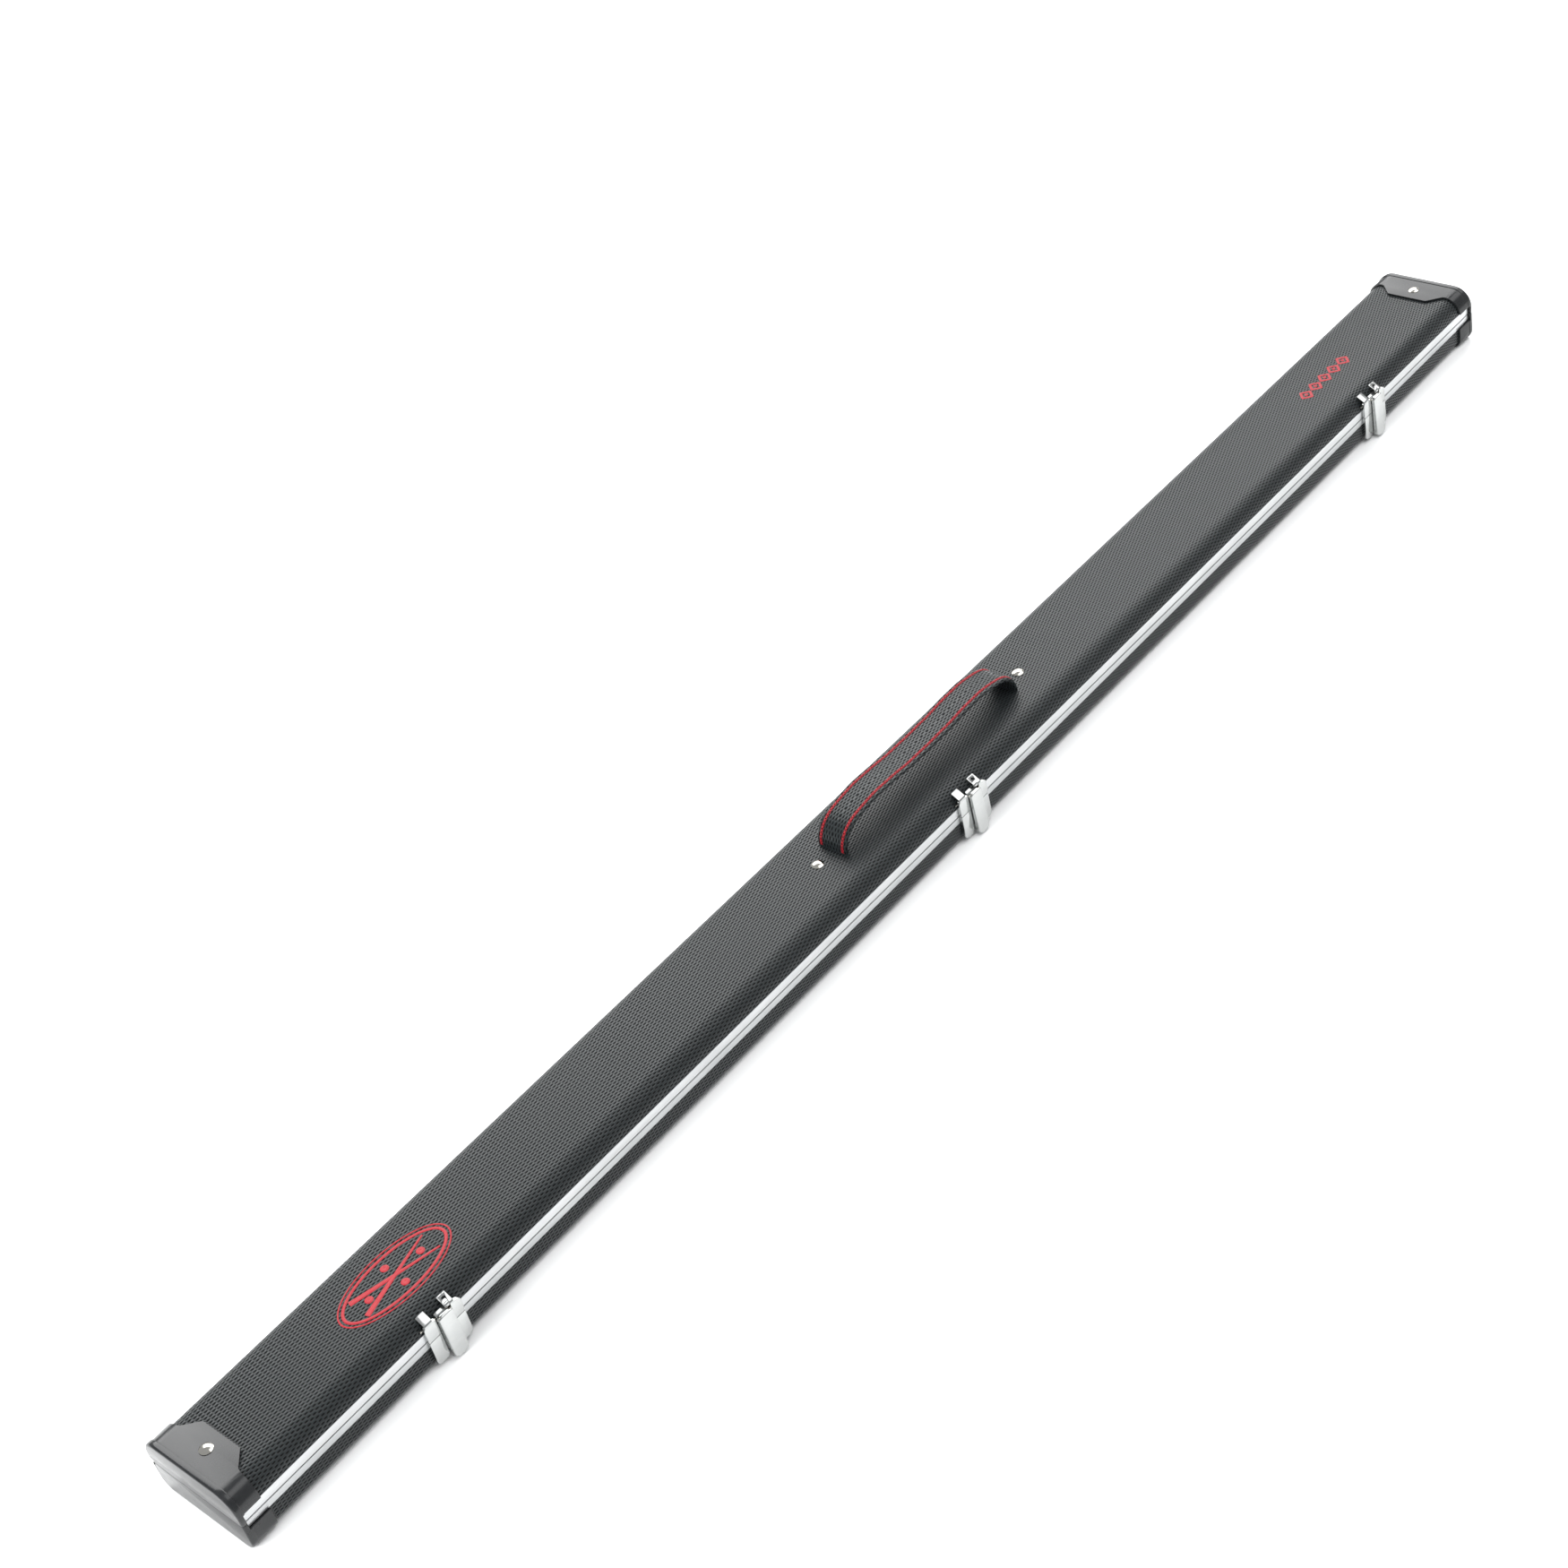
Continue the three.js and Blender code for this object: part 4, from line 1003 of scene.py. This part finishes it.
def lever(x):
    """Pressed channel lever: rounded outer edges, hollow behind, with a slotted lip at its foot."""
    left, right = LEVER_CENTRE - LEVER_WIDTH / 2, LEVER_CENTRE + LEVER_WIDTH / 2
    corners = [
        (left, LEVER_TOP, 3),
        (left, LEVER_FOOT, 5.2),
        (right, LEVER_FOOT, 5.2),
        (right, LEVER_TOP, 3),
    ]
    outline = front_outline(x, corners, 8)
    rings = []
    lean = (LEVER_OUT_FOOT - LEVER_OUT_TOP) / (LEVER_TOP - LEVER_FOOT)
    for back in (True, False):
        ring = []
        for across, z in outline:
            face = LEVER_OUT_TOP + lean * (SEAM + LEVER_TOP - z)
            ring.append((across, MID_Y - FACE - (LIP_BACK if back else face), z))
        rings.append(ring)
    body = loft("lever", rings, uv_along=[0, 6])
    rounded(body, 0.8, 4, 60)
    hollow = latch_section(
        [
            (-1, LEVER_FOOT + 4),
            (-1, LEVER_TOP + 2),
            (LEVER_OUT_TOP - 1, LEVER_TOP + 2),
            (LEVER_OUT_FOOT - 1.1, LEVER_FOOT + 1.6),
            (3, LEVER_FOOT + 1.6),
        ]
    )
    cut(body, prism_x("hollow", hollow, x + left + LEVER_WALL, x + right - LEVER_WALL))
    lip_sides = (x + left + 0.6, x + right - 0.6)
    lip_depths = (MID_Y - FACE - LIP_FRONT, MID_Y - FACE - LIP_BACK)
    lip = box("lip", *lip_sides, *lip_depths, SEAM + LIP_LOW, SEAM + LIP_HIGH)
    slot_sides = (x + side for side in LIP_SLOT)
    slot_depths = (MID_Y - FACE - depth for depth in LIP_SLOT_DEPTH)
    cut(lip, box("slot", *slot_sides, *slot_depths, SEAM + LIP_LOW - 1, SEAM + LIP_HIGH + 1))
    body.data.set_sharp_from_angle(angle=math.radians(30))
    return merged("lever", [body, rounded(lip, 0.2)])


def link(n):
    """Short folded link with a rolled knuckle at each end."""
    low, high = span(f"latch_{n}_link")
    pin = joint_place(f"link_{n}_turn")
    top = joint_place(f"lever_{n}_turn")
    web = box("web", low.x, high.x, pin.y - LINK_HALF, pin.y + LINK_HALF, pin.z, top.z)
    knuckles = [rod_x("knuckle", KNUCKLE_RADIUS, low.x, high.x, p.y, p.z, 24) for p in (pin, top)]
    return merged("link", [rounded(k, 0.2) for k in knuckles] + [rounded(web, 0.15)])


for n, latch_x in LATCHES.items():
    plate = lid_plate(latch_x)
    plate.name = f"latch_{n}_top"
    placed(plate, "lid", CHROME, [f"latch_{n}_lid_plate"])
    catch = base_plate(latch_x)
    catch.name = f"latch_{n}_catch"
    placed(catch, "base", CHROME, [f"latch_{n}_base_plate"])
    handle_piece = lever(latch_x)
    handle_piece.name = f"latch_{n}_pull"
    placed(handle_piece, f"lever_{n}", CHROME, [f"latch_{n}_lever"])
    arm = link(n)
    arm.name = f"latch_{n}_arm"
    placed(arm, f"link_{n}", CHROME, [f"latch_{n}_link"])
    for pin_name in ("link_pin", "lever_pin", "tab_wire"):
        dressed(f"latch_{n}_{pin_name}", NICKEL, 40)


# ------------------------------------------------------------------ padding

FOAM_PITCH = 25
FOAM_ROW = 19
FOAM_BASE = 4
FOAM_PEAK = 9.5
FOAM_STEP = 2.5
RIDGE_OFFSET = 8  # the lining's ridge, from the middle towards the hinge
RIDGE_RISE = 0.9
RIDGE_SPREAD = 2.5
LINING_SINK = 0.6


def egg_crate():
    """Foam slab in the lid with staggered rows of rounded peaks hanging down."""
    columns = int((FOAM_HIGH.x - FOAM_LOW.x) / FOAM_STEP)
    rows = int((FOAM_HIGH.y - FOAM_LOW.y) / FOAM_STEP)
    points, faces = [], []
    for face_top in (False, True):
        for i in range(columns + 1):
            x = FOAM_LOW.x + (FOAM_HIGH.x - FOAM_LOW.x) * i / columns
            for j in range(rows + 1):
                y = FOAM_LOW.y + (FOAM_HIGH.y - FOAM_LOW.y) * j / rows
                wave = math.cos(2 * math.pi * x / FOAM_PITCH) * math.cos(math.pi * (y - MID_Y) / FOAM_ROW)
                depth = FOAM_BASE + FOAM_PEAK * (0.5 + 0.5 * wave) ** 1.3
                points.append((x, y, FOAM_HIGH.z - (0 if face_top else depth)))
    across = rows + 1
    top = (columns + 1) * across
    for i in range(columns):
        for j in range(rows):
            a = i * across + j
            b, c, d = a + across, a + across + 1, a + 1
            faces.append((a, b, c, d))
            faces.append((top + d, top + c, top + b, top + a))
    rim = [i * across for i in range(columns + 1)]
    rim += [columns * across + j for j in range(1, across)]
    rim += [i * across + rows for i in range(columns - 1, -1, -1)]
    rim += list(range(rows - 1, 0, -1))
    for a, b in zip(rim, rim[1:] + rim[:1]):
        faces.append((a, b, top + b, top + a))
    foam = mesh_object("egg_crate_foam", points, faces, sharp=60)
    placed(foam, "lid", FOAM, ["lid_egg_crate_foam"])
    return foam


def floor_liner():
    """Flocked panel in the base, with a soft ridge along it towards the hinge."""
    outline = [(LINER_LOW.y, LINER_LOW.z)]
    steps = 40
    ridge_y = MID_Y + RIDGE_OFFSET
    for i in range(steps + 1):
        y = LINER_LOW.y + (LINER_HIGH.y - LINER_LOW.y) * i / steps
        lift = RIDGE_RISE * math.exp(-(((y - ridge_y) / RIDGE_SPREAD) ** 2))
        outline.append((y, LINER_HIGH.z - LINING_SINK + lift))
    outline.append((LINER_HIGH.y, LINER_LOW.z))
    liner = prism_x("floor_lining", outline, LINER_LOW.x, LINER_HIGH.x, sharp=50)
    return placed(liner, "base", FLOCK, ["base_floor_liner"])


egg_crate()
floor_liner()

for part_half in (LID, BASE):
    for end_name in ENDS:
        dressed(f"{part_half['name']}_end_board_{end_name}", FLOCK)
for end_name in ENDS:
    dressed(f"base_cap_rivet_{end_name}", NICKEL, 40)
    dressed(f"handle_backing_plate_{end_name}", NICKEL, 40)


# ------------------------------------------------------------------ embroidery

THREAD_RISE = 0.45
BAND_WIDTH = 2.4
OVAL_HALF = (45, 19)
OUTER_OVAL_GROWTH = 3.6
CUE_REACH = (34, 9)
CUE_BUTT = 4.6
CUE_TAPER = 3.0
BALL_RADIUS = 3.2
BALLS = ((0, 10.5), (0, -10.5), (-24, 0), (24, 0))
LOZENGES = 5
LOZENGE_PITCH = 15
LOZENGE_RADIUS = 6
SPOT_RADIUS = 1.6


def satin_band(name, path, widths, closed=False):
    """A raised band of satin stitches along (x, y) points on the lid."""
    rings = []
    for i, point in enumerate(path):
        before = path[i - 1] if closed or i else path[0]
        after = path[(i + 1) % len(path)] if closed or i < len(path) - 1 else path[-1]
        along = (Vector(after) - Vector(before)).normalized()
        across = Vector((-along.y, along.x))
        ring = []
        for k in range(7):
            turn = math.pi * k / 6
            place = Vector(point) + across * math.cos(turn) * widths[i] / 2
            ring.append((place.x, MID_Y + place.y, LID_HIGH.z - 0.05 + THREAD_RISE * math.sin(turn)))
        rings.append(ring)
    return loft(name, rings, sharp=70, closed_path=closed)


def ellipse(centre, half_x, half_y, steps=72):
    turns = [2 * math.pi * i / steps for i in range(steps)]
    return [(centre[0] + half_x * math.cos(t), centre[1] + half_y * math.sin(t)) for t in turns]


def straight(start, stop, steps=14):
    a, b = Vector(start), Vector(stop)
    return [tuple(a.lerp(b, i / steps)) for i in range(steps + 1)]


def disc(centre, radius):
    """A round patch of stitches."""
    inner = radius / 2
    ring = ellipse(centre, inner, inner, 32)
    return satin_band("disc", ring, [radius * 1.05] * len(ring), closed=True)


def crossed_cues():
    """A plain emblem: two crossed cues and four balls in an oval."""
    x, y = LATCHES[1] + 2, -3
    bands = []
    for growth, width in ((0, BAND_WIDTH), (OUTER_OVAL_GROWTH, BAND_WIDTH / 2)):
        ring = ellipse((x, y), OVAL_HALF[0] + growth, OVAL_HALF[1] + growth)
        bands.append(satin_band("oval", ring, [width] * len(ring), closed=True))
    run, climb = CUE_REACH
    for side in (-1, 1):
        path = straight((x - run, y - side * climb), (x + run, y + side * climb))
        widths = [CUE_BUTT - CUE_TAPER * i / (len(path) - 1) for i in range(len(path))]
        bands.append(satin_band("cue", path, widths))
    for dx, dy in BALLS:
        bands.append(disc((x + dx, y + dy), BALL_RADIUS))
    emblem = merged("lid_emblem_near", bands)
    return placed(emblem, "lid", THREAD)


def lozenge_row():
    """A plain row of lozenges with a spot in each."""
    bands = []
    for k in range(LOZENGES):
        x = LATCHES[3] - 2 + LOZENGE_PITCH * (k - (LOZENGES - 1) / 2)
        ring = ellipse((x, 0), LOZENGE_RADIUS, LOZENGE_RADIUS, 4)
        outline = []
        for a, b in zip(ring, ring[1:] + ring[:1]):
            outline += straight(a, b, 6)[:-1]
        bands.append(satin_band("lozenge", outline, [BAND_WIDTH] * len(outline), closed=True))
        bands.append(disc((x, 0), SPOT_RADIUS))
    emblem = merged("lid_emblem_far", bands)
    return placed(emblem, "lid", THREAD)


crossed_cues()
lozenge_row()


# ------------------------------------------------------------------ floor, light and camera


FLOOR_REACH = 9000
FLOOR_DROP = 0.05
CAMERA_LENS = 60.76
CAMERA_SHIFT = (0.0004, -0.0039)
CAMERA_PLACE = (-1.1030, -1.1404, 1.3131)  # metres, from the middle of the seam
CAMERA_TURN = (-40.25, 38.7, -14.86)  # azimuth, elevation and roll in degrees


def pale_floor():
    shader = Shader("pale_floor", (0.9, 0.905, 0.905), 0.6)
    grain = shader.noise(shader.place(), 6.0, 3.0)
    shader.finish(Roughness=shader.spread(grain, 0.55, 0.65), Specular_IOR_Level=0.2)
    signs = ((-1, -1), (1, -1), (1, 1), (-1, 1))
    corners = [(x * FLOOR_REACH, y * FLOOR_REACH, -FLOOR_DROP) for x, y in signs]
    floor = mesh_object("floor", corners, [(0, 1, 2, 3)])
    floor.data.materials.append(shader.material)


def soft_world():
    world = bpy.data.worlds.new("studio")
    world.use_nodes = True
    background = world.node_tree.nodes["Background"]
    background.inputs["Color"].default_value = (0.97, 0.985, 1, 1)
    background.inputs["Strength"].default_value = 0.5
    SCENE.world = world


def softbox(name, place, target, size, power, mirrored=True):
    light = bpy.data.lights.new(name, "AREA")
    light.shape = "RECTANGLE"
    light.size, light.size_y = size
    light.energy = power
    lamp = bpy.data.objects.new(name, light)
    lamp.location = place
    direction = Vector(target) - Vector(place)
    lamp.rotation_mode = "QUATERNION"
    lamp.rotation_quaternion = direction.to_track_quat("-Z", "Y")
    lamp.visible_glossy = mirrored
    SCENE.collection.objects.link(lamp)


def front_camera():
    """Camera that looks at the case from the front left, above it."""
    data = bpy.data.cameras.new("camera")
    data.sensor_width = 36
    data.lens = CAMERA_LENS
    data.shift_x, data.shift_y = CAMERA_SHIFT
    data.clip_start, data.clip_end = 0.05, 60
    camera = bpy.data.objects.new("camera", data)
    azimuth, elevation, roll = (math.radians(v) for v in CAMERA_TURN)
    back = Vector(
        (
            math.sin(azimuth) * math.cos(elevation),
            -math.cos(azimuth) * math.cos(elevation),
            math.sin(elevation),
        )
    )
    camera.location = Vector(CAMERA_PLACE) + Vector((0, MID_Y, SEAM)) * MM
    camera.rotation_mode = "QUATERNION"
    camera.rotation_quaternion = (-back).to_track_quat("-Z", "Y") @ Quaternion((0, 0, 1), roll)
    SCENE.collection.objects.link(camera)
    SCENE.camera = camera


pale_floor()
soft_world()
softbox("back_light", (1.5, 1.75, 2.05), (0, 0, 0), (4.6, 2.4), 162)
softbox("tab_strip", (1.15, -0.67, 1.64), (1.15, -0.67, 0), (2.9, 0.8), 16)
softbox("front_fill", (-0.3, -1.5, 2.8), (0, 0, 0), (2.8, 2.2), 44, mirrored=False)
softbox("end_fill", (-2.3, 0.3, 1.0), (-0.9, 0, 0), (1.6, 1.2), 60, mirrored=False)
front_camera()
SCENE.view_settings.view_transform = "Standard"
